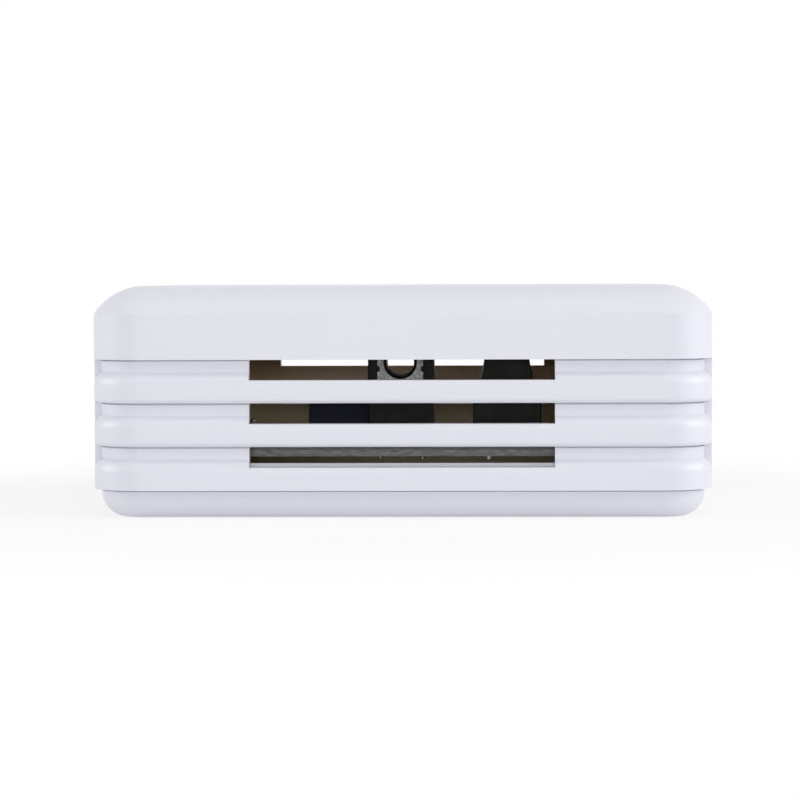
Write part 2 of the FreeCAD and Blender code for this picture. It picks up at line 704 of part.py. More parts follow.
def ring_core(name, y, z):
    return ring(name, CORE_INNER, CORE_OUTER, "core_depth", y, z)


def ring_coil(name, y, z):
    """The two halves of the winding, as a sleeve over the core that is open at the top and bottom."""
    depth = "(core_depth + 2 * winding_thickness)"
    sleeve = ring(f"{name}_sleeve", f"{CORE_INNER} - winding_thickness",
                  f"{CORE_OUTER} + winding_thickness", depth, y, z)
    split = centred(f"{name}_split", CHOKE_HOLE_X, y, "winding_gap", f"{depth} + 2",
                    f"{z} - 2 * {CORE_OUTER}", f"{z} + 2 * {CORE_OUTER}")
    return cut(name, sleeve, ring_core(f"{name}_core", y, z), split)


def make_choke():
    near = f"({BOARD_NEAR} + choke_start)"
    far = f"({near} + choke_depth)"
    top = f"({BOARD_TOP} + choke_height)"
    hole_z = f"({top} - choke_wall - core_top_gap - winding_thickness - {CORE_OUTER})"
    hollow_low = f"({BOARD_TOP} + choke_base)"
    hollow_near = f"({near} + choke_front)"
    hollow_far = f"({far} - choke_wall)"
    inner_x = ("choke_x - choke_width / 2 + choke_wall", "choke_x + choke_width / 2 - choke_wall")
    window_x = (f"{CHOKE_HOLE_X} - choke_window_width / 2", f"{CHOKE_HOLE_X} + choke_window_width / 2")
    window_z = (f"{hole_z} - choke_window_drop", f"{top} - choke_window_rim")

    outer = block("choke_outer", ("choke_x - choke_width / 2", "choke_x + choke_width / 2"),
                  (near, far), (BOARD_TOP, top))
    hollow = block("choke_hollow", inner_x, (hollow_near, hollow_far), (hollow_low, f"{top} - choke_wall"))
    window = block("choke_window", window_x, (f"{near} - 1", f"{hollow_near} + choke_overlap"), window_z)
    tube = rod("choke_tube", "choke_hole_radius + choke_tube_wall", "choke_depth",
               CHOKE_HOLE_X, near, hole_z, axis="y")
    hole = rod("choke_hole", "choke_hole_radius", "choke_depth + 2",
               CHOKE_HOLE_X, f"{near} - 1", hole_z, axis="y")
    nib_z = (f"{hole_z} - choke_nib_drop", f"{hole_z} - choke_nib_drop + choke_nib_height")
    nibs = window_nibs("choke_nib", (near, hollow_near), nib_z)
    shell = cut("choke_shell", outer, hollow, window)
    keep(cut("choke_case", fuse("choke_closed", shell, tube, *nibs), hole), "choke_case")

    ring_at = (f"(({hollow_near} + {hollow_far}) / 2)", hole_z)
    keep(ring_core("choke_core", *ring_at), "choke_core")
    keep(ring_coil("choke_winding", *ring_at), "choke_winding")
    fill = block("potting_fill", inner_x, (hollow_near, hollow_far), (hollow_low, f"{top} - choke_wall"))
    fill_window = block("potting_window", window_x, (f"{near} + potting_sink", hollow_near), window_z)
    tube_space = rod("potting_tube", "choke_hole_radius + choke_tube_wall", "choke_depth + 2",
                     CHOKE_HOLE_X, f"{near} - 1", hole_z, axis="y")
    sealed = [ring_core("sealed_core", *ring_at), ring_coil("sealed_coil", *ring_at)]
    keep(cut("choke_potting", fuse("potting_blank", fill, fill_window), tube_space,
             *window_nibs("potting_nib", (near, hollow_near), nib_z), *sealed), "choke_potting")

    middle = f"({near} + choke_depth / 2)"
    places = [
        (f"choke_x + {sx} * choke_pin_spacing_wide / 2", f"{middle} + {sy} * choke_pin_spacing_deep / 2")
        for sx, sy in CORNERS
    ]
    keep(pins("choke_pins", places, "choke_pin_radius"), "choke_pins")


def make_power_module():
    near = f"({BOARD_NEAR} + module_start)"
    middle = f"({near} + module_depth / 2)"
    body = centred("power_module", "module_x", middle, "module_width", "module_depth",
                   BOARD_TOP, f"{BOARD_TOP} + module_height")
    keep(body, "power_module")
    places = [(f"module_x + {i - 1.5} * module_pin_pitch", middle) for i in range(4)]
    keep(pins("power_module_pins", places, "module_pin_radius"), "power_module_pins")


def on_board(name, x, start, width, depth, height):
    """A plain part that sits on the board, its near side at a distance from the board's near edge."""
    middle = f"{BOARD_NEAR} + {start} + {depth} / 2"
    return keep(centred(name, x, middle, width, depth, BOARD_TOP, f"{BOARD_TOP} + {height}"), name)


def bent_leads(name, x, y, width, depth, across, along, pitch):
    """Leads that leave a chip's sides, step down and lie on the board, as slices of three rings."""
    rings = []
    foot_top = f"{BOARD_TOP} + lead_thickness"
    rise_top = f"{BOARD_TOP} + lead_rise"
    reach = "lead_reach"
    step_out = f"2 * ({reach} / 2)"
    levels = (
        ("foot", f"{step_out} - 2 * lead_thickness", f"2 * {reach}", BOARD_TOP, foot_top),
        ("step", f"{step_out} - 2 * lead_thickness", step_out, BOARD_TOP, rise_top),
        ("neck", "0", step_out, f"{rise_top} - lead_thickness", rise_top),
    )
    for label, inner, outer, low, high in levels:
        slab = centred(f"{name}_{label}_slab", x, y, f"({width}) + {outer}", f"({depth}) + {outer}",
                       low, high)
        gap = centred(f"{name}_{label}_gap", x, y, f"({width}) + {inner}", f"({depth}) + {inner}",
                      f"{low} - 1", f"{high} + 1")
        rings.append(cut(f"{name}_{label}", slab, gap))
    slices = []
    slice_z = (f"{BOARD_TOP} - 1", f"{rise_top} + 1")
    for count, runs_along_x in ((along, True), (across, False)):
        for i in range(count):
            offset = f"{i - (count - 1) / 2} * {pitch}"
            if runs_along_x:
                slices.append(centred(f"{name}_row_{i}", x, f"{y} + {offset}", f"({width}) + 4 * {reach}",
                                      "lead_width", *slice_z))
            else:
                slices.append(centred(f"{name}_column_{i}", f"{x} + {offset}", y, "lead_width",
                                      f"({depth}) + 4 * {reach}", *slice_z))
    ring = fuse(f"{name}_rings", *rings)
    keep(common(name, ring, group(f"{name}_slices", slices)), name)


def make_chips():
    on_board("power_inductor", "inductor_x", "inductor_start", "inductor_size", "inductor_size",
             "inductor_height")
    on_board("crystal", "crystal_x", "crystal_start", "crystal_length", "crystal_width", "crystal_height")
    on_board("microcontroller", "processor_x", "processor_start", "processor_size", "processor_size",
             "processor_height")
    on_board("transceiver", "driver_x", "driver_start", "driver_width", "driver_depth", "driver_height")
    on_board("voltage_regulator", "regulator_x", "regulator_start", "regulator_width", "regulator_depth",
             "regulator_height")
    processor_y = f"({BOARD_NEAR} + processor_start + processor_size / 2)"
    bent_leads("microcontroller_leads", "processor_x", processor_y, "processor_size", "processor_size", 8, 8,
               "processor_lead_pitch")
    driver_y = f"({BOARD_NEAR} + driver_start + driver_depth / 2)"
    bent_leads("transceiver_leads", "driver_x", driver_y, "driver_width", "driver_depth", 0, 4,
               "driver_lead_pitch")
    regulator_y = f"({BOARD_NEAR} + regulator_start + regulator_depth / 2)"
    bent_leads("regulator_leads", "regulator_x", regulator_y, "regulator_width", "regulator_depth", 3, 0,
               "regulator_lead_pitch")


def make_capacitors():
    cans = []
    leads = []
    for label in ("large_capacitor", "small_capacitor"):
        y = f"({BOARD_NEAR} + {label}_start + {label}_radius)"
        cans.append(rod(f"{label}_can", f"{label}_radius", f"{label}_height", f"{label}_x", y, BOARD_TOP))
        leads += [(f"{label}_x + {side} * {label}_lead_pitch / 2", y) for side in (-1, 1)]
    keep(group("capacitors", cans), "capacitors")
    keep(pins("capacitor_leads", leads, "capacitor_lead_radius"), "capacitor_leads")


def make_input_protection():
    y = f"({BOARD_NEAR} + fuse_start + fuse_thickness / 2)"
    centre_z = f"({BOARD_TOP} + fuse_lift + fuse_radius)"
    disc = rod("fuse_disc", "fuse_radius", "fuse_thickness",
               "terminal_x", f"{y} - fuse_thickness / 2", centre_z, axis="y")
    keep(disc, "resettable_fuse")
    places = [(f"terminal_x + {side} * fuse_lead_pitch / 2", y) for side in (-1, 1)]
    crown = "sqrt(fuse_radius^2 - (fuse_lead_pitch / 2 - capacitor_lead_radius)^2)"
    lead_top = f"{centre_z} - {crown} - thread_clearance"
    keep(pins("fuse_leads", places, "capacitor_lead_radius", high=lead_top), "fuse_leads")
    diodes = []
    for i in range(2):
        at = f"({BOARD_NEAR} + diode_start + {i} * diode_pitch + diode_width / 2)"
        diodes.append(centred(f"surge_diode_{i + 1}", "terminal_x", at, "diode_length", "diode_width",
                              BOARD_TOP, f"{BOARD_TOP} + diode_height"))
    keep(group("surge_diodes", diodes), "surge_diodes")


def make_button():
    y = f"({BOARD_FAR} - button_from_far)"
    top = f"({BOARD_TOP} + button_height)"
    floor = f"({BOARD_TOP} + button_floor)"
    roof = f"({top} - button_roof)"
    case = centred("button_case", "button_x", y, "button_size", "button_size", BOARD_TOP, top)
    cavity = rod("button_cavity", "button_cavity_radius", f"{roof} - {floor}", "button_x", y, floor)
    guide = rod("button_guide", "plunger_radius + plunger_running", "button_height", "button_x", y, roof)
    keep(cut("button_housing", case, cavity, guide), "button_housing")
    flange_low = f"({roof} - plunger_flange - plunger_running)"
    flange = rod("plunger_flange_disc", "plunger_flange_radius", "plunger_flange", "button_x", y, flange_low)
    stem_top = f"({BOARD_TOP} + plunger_height)"
    stem = rod("plunger_stem", "plunger_radius", f"{stem_top} - {flange_low}", "button_x", y, flange_low)
    keep(fuse("button_plunger", flange, stem), "button_plunger")
    dome_height = f"({flange_low} - plunger_travel - dome_spare - {floor})"
    outside = cone("dome_outside", "dome_radius", "dome_crown_radius", dome_height, "button_x", y, floor)
    inside = cone("dome_inside", "dome_radius - dome_thickness", "dome_crown_radius - dome_thickness",
                  f"{dome_height} - dome_thickness", "button_x", y, floor)
    keep(cut("button_dome", outside, inside), "button_dome")
    places = [
        (f"button_x + {sx} * (button_leg_spacing_wide / 2 - button_leg_radius)",
         f"{y} + {sy} * button_leg_spacing_deep / 2")
        for sx, sy in CORNERS
    ]
    keep(pins("button_legs", places, "button_leg_radius"), "button_legs")


def make_sensor():
    x = f"(0 - {BOARD_RIGHT} + sensor_inset)"
    near = f"({BOARD_NEAR} + sensor_start)"
    middle = f"({near} + sensor_board_depth / 2)"
    low = f"({BOARD_TOP} + sensor_lift)"
    top = f"({low} + sensor_board_thickness)"
    pin_y = f"({near} + sensor_pin_edge)"
    places = [(f"{x} + {side} * sensor_pin_pitch / 2", pin_y) for side in (-1, 1)]
    places += [(f"{x} + {side} * sensor_pin_pitch / 2", f"{near} + sensor_board_depth - sensor_pin_edge")
               for side in (-1, 1)]
    small_board = centred("sensor_board", x, middle, "sensor_board_width", "sensor_board_depth", low, top)
    keep(small_board, "sensor_board")
    keep(pins("sensor_pins", places, "header_pin_radius", high=low), "sensor_pins")
    chip = centred("sensor_chip_block", x, middle, "sensor_chip", "sensor_chip",
                   top, f"{top} + sensor_chip_height")
    port = rod("sensor_port", "sensor_port_radius", "sensor_chip_height", x, middle,
               f"{top} + sensor_chip_height / 2")
    keep(cut("sensor_chip", chip, port), "sensor_chip")


def make_header():
    x = f"({BOARD_RIGHT} - header_inset)"
    near = f"({BOARD_NEAR} + header_start)"
    length = f"({HEADER_PIN_COUNT} * header_pitch)"
    places = [(x, f"{near} + {i + 0.5} * header_pitch") for i in range(HEADER_PIN_COUNT)]
    strip = centred("header_strip", x, f"{near} + {length} / 2", "header_pitch", length,
                    BOARD_TOP, f"{BOARD_TOP} + header_body")
    ways = [rod(f"header_way_{i}", "header_pin_radius", "header_body + 2", px, py, f"{BOARD_TOP} - 1")
            for i, (px, py) in enumerate(places, start=1)]
    keep(cut("programming_header", strip, *ways), "programming_header")
    pin_top = f"{BOARD_TOP} + header_pin_height"
    keep(pins("header_pins", places, "header_pin_radius", high=pin_top), "header_pins")


def make_flat_chips():
    beside_processor = "(processor_x + processor_size / 2 + lead_reach + chip_width)"
    rows = (
        ("chip_resistors", "resistor_height", beside_processor, "processor_start", 4),
        ("chip_resistors_right", "resistor_height", "driver_x",
         "regulator_start + regulator_depth + chip_row_gap", 2),
        ("chip_capacitors", "ceramic_height", "(processor_x - processor_size / 2 - lead_reach - chip_width)",
         "processor_start", 4),
    )
    made = {}
    for label, height, x, start, count in rows:
        chips = made.setdefault(label.removesuffix("_right"), [])
        for i in range(count):
            y = f"({BOARD_NEAR} + {start} + {i} * chip_pitch + chip_width / 2)"
            chips.append(centred(f"{label}_{i + 1}", x, y, "chip_width", "chip_pitch - chip_gap", BOARD_TOP,
                                 f"{BOARD_TOP} + {height}"))
    for label, chips in made.items():
        keep(group(label, chips), label)
    light_y = f"({BOARD_FAR} - light_from_far)"
    keep(centred("status_light", "light_x", light_y, "chip_width", "chip_length", BOARD_TOP,
                 f"{BOARD_TOP} + light_height"), "status_light")


def make_board():
    """The board comes last, because its holes follow the leads of every part on it."""
    plate = rounded_body("board_plate", BOARD_WIDTH, BOARD_DEPTH, "board_corner", BOARD_LOW, BOARD_TOP)
    holes = []
    for i, (x, y, radius) in enumerate(drills, start=1):
        holes.append(rod(f"drill_{i}", radius, "board_thickness + 2", x, y, f"{BOARD_LOW} - 1"))
    screws = []
    for i, (sx, sy) in enumerate(CORNERS, start=1):
        x = f"{sx} * {POST_X}"
        y = f"{sy} * {POST_Y}"
        holes.append(rod(f"screw_way_{i}", "board_screw_radius + board_hole_clearance", "board_thickness + 2",
                         x, y, f"{BOARD_LOW} - 1"))
        head = rod(f"board_head_{i}", "board_screw_head_radius", "board_screw_head", x, y, BOARD_TOP)
        shank = rod(f"board_shank_{i}", "board_screw_radius", "board_screw_length", x, y,
                    f"{BOARD_TOP} - board_screw_length")
        head_top = f"{BOARD_TOP} + board_screw_head"
        slot_z = (f"{head_top} - board_recess_depth", f"{head_top} + 1")
        blade = centred(f"board_blade_{i}", x, y, "board_recess_length", "recess_width", *slot_z)
        cross = centred(f"board_cross_{i}", x, y, "recess_width", "board_recess_length", *slot_z)
        screws.append(cut(f"board_screw_{i}", fuse(f"board_blank_{i}", head, shank), blade, cross))
    keep(cut("circuit_board", plate, *holes), "circuit_board")
    keep(group("board_screws", screws), "board_screws")


def check_and_write():
    doc.recompute()
    for thing in doc.Objects:
        if {"Invalid", "Error"} & set(thing.State):
            raise RuntimeError(f"{thing.Name} failed: {thing.State}")
    os.makedirs("parts", exist_ok=True)
    for thing in sub_parts:
        shape = thing.Shape
        if shape.isNull() or not shape.isValid() or not shape.Solids:
            raise RuntimeError(f"{thing.Label} has no valid solid")
    for thing in sub_parts:
        thing.Shape.exportStep(f"parts/{thing.Label}.step")
        box = thing.Shape.BoundBox
        print(f"{thing.Label}: {len(thing.Shape.Solids)} solids, {thing.Shape.Volume:.1f} mm3, "
              f"z {box.ZMin:.2f} to {box.ZMax:.2f}")
    print(f"{len(sub_parts)} sub-parts")


make_front_cover()
make_middle_shell()
make_back_shell()
make_housing_screws()
make_grommet()
make_terminal_block()
make_choke()
make_power_module()
make_chips()
make_capacitors()
make_input_protection()
make_button()
make_sensor()
make_header()
make_flat_chips()
make_board()
check_and_write()
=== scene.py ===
# %% [markdown]
# # A wall-mount temperature transmitter
# The real object is a small white box of moulded plastic, about 110 x 85 x 41 mm. It has three
# shells: a recessed back, a ribbed middle with vent slots in its two long sides, and a plain
# cover. Inside lie a circuit board, a screw terminal block, a potted choke and a sealed power
# module. Here it lies on its back, as it does in the photograph, and we look at one of its slotted
# sides. The imported model is the frame of everything that follows. We load it once and never
# move it.

# %% Load the frame
import json
import math
from functools import partial
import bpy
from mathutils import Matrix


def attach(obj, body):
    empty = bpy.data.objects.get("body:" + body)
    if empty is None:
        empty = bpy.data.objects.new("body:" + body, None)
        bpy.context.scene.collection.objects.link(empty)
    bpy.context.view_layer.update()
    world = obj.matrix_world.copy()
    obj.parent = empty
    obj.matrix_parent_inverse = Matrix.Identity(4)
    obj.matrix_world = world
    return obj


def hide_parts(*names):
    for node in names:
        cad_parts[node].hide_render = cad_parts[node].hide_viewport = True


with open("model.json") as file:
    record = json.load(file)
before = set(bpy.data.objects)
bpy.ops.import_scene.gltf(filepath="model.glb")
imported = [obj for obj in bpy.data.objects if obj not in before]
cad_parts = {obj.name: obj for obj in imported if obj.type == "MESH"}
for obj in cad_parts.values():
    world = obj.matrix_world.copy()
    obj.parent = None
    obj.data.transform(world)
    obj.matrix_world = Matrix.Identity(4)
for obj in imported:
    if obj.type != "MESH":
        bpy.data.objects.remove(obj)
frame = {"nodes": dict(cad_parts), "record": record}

from types import SimpleNamespace

import bmesh
import bpy
from mathutils import Matrix, Vector

MM = 0.001


def in_metres(values):
    return tuple(value * MM for value in values)


scene = bpy.context.scene
scene.view_settings.view_transform = "Standard"
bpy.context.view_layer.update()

# %% [markdown]
# ## The camera
# The photograph was taken from half a metre away with a long lens, a little right of the middle
# and just above the cover. Its horizon is above the middle of the picture, so the camera looks
# slightly down. We could aim a camera with a constraint, but a place in mm and three angles say
# the same and can't drift.

# %% Camera
EYE = (13.5, -536.5, 42.2)
LOOK_DOWN, ROLL, TURN_LEFT = 2.464, 0.18, 1.577
LENS, SENSOR_WIDTH, NEAREST = 127.24, 36.0, 10.0
camera_data = bpy.data.cameras.new("photo_camera")
camera_data.sensor_width = SENSOR_WIDTH
camera_data.lens = LENS
camera_data.clip_start = NEAREST * MM
camera = bpy.data.objects.new("photo_camera", camera_data)
camera.location = in_metres(EYE)
camera.rotation_euler = [math.radians(angle) for angle in (90 - LOOK_DOWN, ROLL, TURN_LEFT)]
scene.collection.objects.link(camera)
scene.camera = camera
print("Camera stands", -EYE[1], "mm in front of the middle, lens", LENS)

# %% [markdown]
# ## Node helpers
# Materials, the world and Geometry Nodes are all trees of nodes. One helper adds a node to any of
# them, sets its options, and sets or links its inputs. It gives back the output that the next node
# needs, so a tree reads like a row of formulas. Four short helpers wrap the nodes that come up
# most.

# %% Node helpers
PREFIXES = {"GeometryNodeTree": "GeometryNode", "ShaderNodeTree": "ShaderNode"}


def add(tree, kind, inputs=None, out=0, **settings):
    """Adds a node; inputs go by name or number. Returns one output, or all when out is None."""
    if not kind.startswith(("Shader", "Function", "NodeGroup")):
        kind = PREFIXES[tree.bl_idname] + kind
    made = tree.nodes.new(kind)
    for name, value in settings.items():
        setattr(made, name, value)
    for name, value in (inputs or {}).items():
        for source in value if isinstance(value, list) else [value]:
            if isinstance(source, bpy.types.NodeSocket):
                tree.links.new(source, made.inputs[name])
            else:
                made.inputs[name].default_value = source
    return made.outputs if out is None else made.outputs[out]


def calculate(tree, operation, first, second=0.0, clamp=False):
    return add(tree, "ShaderNodeMath", {0: first, 1: second}, operation=operation, use_clamp=clamp)


def calculate_vector(tree, operation, first, second=(0, 0, 0), out=0):
    return add(tree, "ShaderNodeVectorMath", {0: first, 1: second}, out, operation=operation)


def ramp(tree, value, start, end, low=0.0, high=1.0, shape="LINEAR"):
    return add(tree, "MapRange", {0: value, 1: start, 2: end, 3: low, 4: high},
               interpolation_type=shape)


def mix(tree, share, first, second):
    """Mixes two colours, each given as three numbers or as another node's output."""
    first, second = [c if isinstance(c, bpy.types.NodeSocket) else (*c, 1) for c in (first, second)]
    return add(tree, "Mix", {0: share, 6: first, 7: second}, 2, data_type="RGBA")


print("Helpers for", len(PREFIXES), "kinds of tree")

# %% [markdown]
# ## Floor and background
# The object stands on white. A white background must not come from more light on the object,
# because that would bleach the plastic. So the world has two levels: what the camera, a reflection
# or a view through glass sees is plain white, and what lights the object is weaker. The floor does
# the same, with a little real shading left in, so that the object keeps a faint shadow under it.
# Further out the floor turns plain white, and no horizon shows. Light Path tells the two kinds of
# ray apart. The floor also sends a little light of its own back up, as a lit white table does, so
# that the round underside of the box doesn't go dark.

# %% Background and floor
SKY_LIGHT = 0.25
FLOOR_SHADING = 0.25
FLOOR_BOUNCE = 0.17
SHADOW_REACH = (0.06, 0.16)
FLOOR_HALF = 6.0
FLOOR_DROP = 0.05 * MM
PURE_WHITE = (1, 1, 1, 1)
FLOOR_WHITE = (0.96, 0.96, 0.97, 1)
CORNERS = ((1, 1), (-1, 1), (-1, -1), (1, -1))


def empty_tree(owner):
    owner.use_nodes = True
    owner.node_tree.nodes.clear()
    return owner.node_tree


def seen_directly(tree):
    """1 for rays that show the background itself, 0 for rays that carry light to the object."""
    ray = add(tree, "LightPath", out=None)
    both = calculate(tree, "ADD", ray["Is Camera Ray"], ray["Is Glossy Ray"])
    return calculate(tree, "ADD", both, ray["Is Transmission Ray"], clamp=True)


world = bpy.data.worlds.new("white_surround")
scene.world = world
tree = empty_tree(world)
weak, full = [add(tree, "Background", {"Color": PURE_WHITE, "Strength": strength})
              for strength in (SKY_LIGHT, 1.0)]
chosen = add(tree, "MixShader", {0: seen_directly(tree), 1: weak, 2: full})
add(tree, "OutputWorld", {"Surface": chosen}, None)

floor_finish = bpy.data.materials.new("floor_white")
tree = empty_tree(floor_finish)
shaded = add(tree, "BsdfDiffuse", {"Color": FLOOR_WHITE})
glow = add(tree, "Emission", {"Color": PURE_WHITE, "Strength": 1.0})
far_out = calculate_vector(tree, "LENGTH", add(tree, "TexCoord", out="Object"), out="Value")
plain = ramp(tree, far_out, *SHADOW_REACH, 1 - FLOOR_SHADING, 1.0, shape="SMOOTHSTEP")
seen = calculate(tree, "MULTIPLY", seen_directly(tree), plain)
share = calculate(tree, "MAXIMUM", seen, FLOOR_BOUNCE)
surface = add(tree, "MixShader", {0: share, 1: shaded, 2: glow})
add(tree, "OutputMaterial", {"Surface": surface}, None)

floor_mesh = bpy.data.meshes.new("floor")
floor_mesh.from_pydata([(x * FLOOR_HALF, y * FLOOR_HALF, -FLOOR_DROP) for x, y in CORNERS], [],
                       [(0, 1, 2, 3)])
floor_mesh.materials.append(floor_finish)
floor = bpy.data.objects.new("floor", floor_mesh)
scene.collection.objects.link(floor)
print("World lights with", SKY_LIGHT, "and shows as 1.0")

# %% [markdown]
# ## Lamps
# The photograph has soft light from all round: the right end and the upper edges are palest, and
# the left end is a little greyer. A wide area lamp stands on each side, one hangs above and one
# high in front. Two narrow ones stand low in front, where their light enters the slots and reaches
# the far wall. Wide lamps give soft edges to the shadows under the ribs.

# %% Lamps
LAMPS = {
    # name: place in metres, width, height, power
    "right_lamp": ((1.1, -0.15, 0.45), 0.9, 0.7, 7.1),
    "left_lamp": ((-1.1, -0.1, 0.4), 0.8, 0.6, 4.5),
    "top_lamp": ((0.1, -0.25, 1.3), 1.3, 1.3, 3.85),
    "high_lamp": ((0.1, -0.95, 0.95), 1.2, 0.8, 3.45),
    "front_lamp": ((-0.05, -1.3, 0.21), 0.7, 0.1, 0.65),
    "slot_lamp": ((-0.05, -1.3, 0.092), 0.75, 0.06, 1.75),
}
AIM = Vector((0, 0, 20 * MM))
for name, (place, width, height, power) in LAMPS.items():
    lamp_data = bpy.data.lights.new(name, "AREA")
    lamp_data.shape = "RECTANGLE"
    lamp_data.size = width
    lamp_data.size_y = height
    lamp_data.energy = power
    lamp = bpy.data.objects.new(name, lamp_data)
    lamp.location = place
    lamp.rotation_euler = (AIM - Vector(place)).to_track_quat("-Z", "Y").to_euler()
    scene.collection.objects.link(lamp)
print(len(LAMPS), "lamps")

# %% [markdown]
# ## Finishes
# A finish needs more than one flat colour. Under a lens even plain plastic shows a fine grain from
# the mould, a slow drift of tone and small changes of gloss. All of that can come from noise that
# is read at the surface's own place in the object, so that it stays put when the camera or a joint
# moves. We write one helper for it, and the special finishes add to what it gives.

# %% Finish helper
finishes = {}
GLOSS_BAND = (0.3, 0.7)
BUMP_STRENGTH = 0.5


def plug(made, socket, source):
    """Feeds one input of a finish's shader."""
    made.tree.links.new(source, made.shader.inputs[socket])


def finish(name, colour, roughness, metallic=0.0, drift=0.06, drift_size=6.0, grain=0.05,
           grain_size=0.2, stretch=(1, 1, 1), gloss_spread=0.06):
    """A material with a slow drift of tone and a fine grain; sizes in mm."""
    material = bpy.data.materials.new(name)
    material.use_nodes = True
    tree = material.node_tree
    made = SimpleNamespace(material=material, tree=tree, shader=tree.nodes["Principled BSDF"])
    made.shader.inputs["Metallic"].default_value = metallic
    made.place = add(tree, "Mapping", {"Vector": add(tree, "TexCoord", out="Object"),
                                       "Scale": stretch})
    slow, fine = [add(tree, "TexNoise", {"Vector": made.place, "Scale": 1 / (size * MM),
                                         "Detail": detail}, "Fac")
                  for size, detail in ((drift_size, 3.0), (grain_size, 2.0))]
    low = [c * (1 - drift) for c in colour]
    high = [min(c * (1 + drift), 1.0) for c in colour]
    made.tone = mix(tree, slow, low, high)
    made.bump = add(tree, "Bump", {"Height": fine, "Strength": BUMP_STRENGTH,
                                   "Distance": grain * MM})
    plug(made, "Base Color", made.tone)
    plug(made, "Roughness", ramp(tree, slow, *GLOSS_BAND, roughness - gloss_spread,
                                 roughness + gloss_spread))
    plug(made, "Normal", made.bump)
    finishes[name] = made
    return made


PLAIN_FINISHES = {
    # name: colour, roughness, metallic, drift, its size, grain, its size (0.2), stretch (1, 1, 1)
    "screw_steel": ((0.50, 0.51, 0.53), 0.32, 1.0, 0.12, 1.2, 0.02),
    "tinned_metal": ((0.52, 0.52, 0.50), 0.48, 1.0, 0.12, 0.6, 0.02),
    "clamp_brass": ((0.70, 0.62, 0.40), 0.3, 1.0, 0.1, 1.0, 0.02),
    "can_metal": ((0.62, 0.62, 0.61), 0.28, 1.0, 0.05, 2.0, 0.01, 0.2, (1, 8, 8)),
    "winding_copper": ((0.62, 0.25, 0.10), 0.3, 1.0, 0.1, 1.0, 0.01),
    "grommet_rubber": ((0.022, 0.022, 0.023), 0.7, 0.0, 0.15, 2.0, 0.06),
    "terminal_black": ((0.0080, 0.0104, 0.0078), 0.42, 0.0, 0.2, 3.0, 0.03, 0.15),
    "choke_black": ((0.0078, 0.0078, 0.0094), 0.4, 0.0, 0.2, 2.5, 0.03, 0.15),
    "module_navy": ((0.0192, 0.0204, 0.0560), 0.45, 0.0, 0.15, 2.0, 0.04, 0.12),
    "chip_black": ((0.016, 0.016, 0.017), 0.55, 0.0, 0.15, 1.0, 0.03, 0.08),
    "ferrite": ((0.045, 0.045, 0.048), 0.6, 0.0, 0.2, 0.7, 0.08, 0.1),
    "fuse_yellow": ((0.72, 0.42, 0.03), 0.3, 0.0, 0.08, 1.5, 0.03),
    "ceramic_tan": ((0.36, 0.25, 0.15), 0.5, 0.0, 0.1, 0.5, 0.02, 0.08),
    "sensor_white": ((0.62, 0.63, 0.62), 0.45, 0.0, 0.05, 0.8, 0.02, 0.08),
}
DULL_BLACKS = ("terminal_black", "choke_black", "module_navy", "chip_black")
DULL_SHINE = 0.1
for name, row in PLAIN_FINISHES.items():
    finish(name, *row)
for name in DULL_BLACKS:
    finishes[name].shader.inputs["Specular IOR Level"].default_value = DULL_SHINE
print(len(finishes), "finishes made by the helper")

# %% [markdown]
# ## The white plastic
# The shells are moulded in one cool white plastic with a very fine grain. Inside the box the
# plastic lies in warm, dim light, which has come through the plastic and off the board, and it
# reads as brown. The paths of that light are too many to follow, so that shade is painted: the
# plastic's colour turns brown where it faces the room inside, and the material measures how far
# in from the outline a point lies. Low in the room the painted shade is a little paler, as painted
# light from the slots.

# %% Moulded white plastic
WHITE = (0.735, 0.742, 0.812)
# Painted shade and light inside the box: the brown of the inside faces, its paler low form, and the
# heights in mm where one turns into the other
PAINTED_INSIDE_SHADE = (0.96, 0.66, 0.40)
PAINTED_INSIDE_LOW_LIGHT = (0.99, 0.83, 0.53)
PAINTED_SHADE_HEIGHTS = (14.0, 21.0)
WIDTH, DEPTH = 110.0, 85.0
CORNER = 9.2
# How far in from the outline the room starts, in mm: beside the back's tongue, the ribs, the cover
# and its crown
ROOM_INSETS = (4.6, 3.1, 2.1, 3.2)
# The heights in mm where those four follow one another, and the room's lowest and highest points
ROOM_STEPS = (9.7, 28.05, 36.9)
ROOM_ENDS = (2.1, 38.9)


def depth_inside(tree, where):
    """How far a point lies inside the housing's outline, in metres."""
    flat = calculate_vector(tree, "MULTIPLY", where, (1, 1, 0))
    folded = calculate_vector(tree, "ABSOLUTE", flat)
    centre = in_metres((WIDTH / 2 - CORNER, DEPTH / 2 - CORNER, 0))
    beyond = calculate_vector(tree, "SUBTRACT", folded, centre)
    outer = calculate_vector(tree, "MAXIMUM", beyond)
    distance = calculate_vector(tree, "LENGTH", outer, out="Value")
    x, y, _ = add(tree, "SeparateXYZ", {0: beyond}, None)
    inner = calculate(tree, "MINIMUM", calculate(tree, "MAXIMUM", x, y), 0.0)
    return calculate(tree, "SUBTRACT", CORNER * MM, calculate(tree, "ADD", distance, inner))


def painted_shade_room(tree):
    """1 where the surface faces the room inside the housing and gets painted shade, 0 on its
    outside and in its slots.
    """
    where = add(tree, "TexCoord", out="Object")
    z = add(tree, "SeparateXYZ", {0: where}, 2)
    limit = ROOM_INSETS[0] * MM
    for step, low, high in zip(ROOM_STEPS, ROOM_INSETS, ROOM_INSETS[1:]):
        passed = calculate(tree, "GREATER_THAN", z, step * MM)
        limit = calculate(tree, "SUBTRACT", limit,
                          calculate(tree, "MULTIPLY", passed, (low - high) * MM))
    result = calculate(tree, "GREATER_THAN", depth_inside(tree, where), limit)
    for operation, end in zip(("GREATER_THAN", "LESS_THAN"), ROOM_ENDS):
        result = calculate(tree, "MULTIPLY", result, calculate(tree, operation, z, end * MM))
    return result


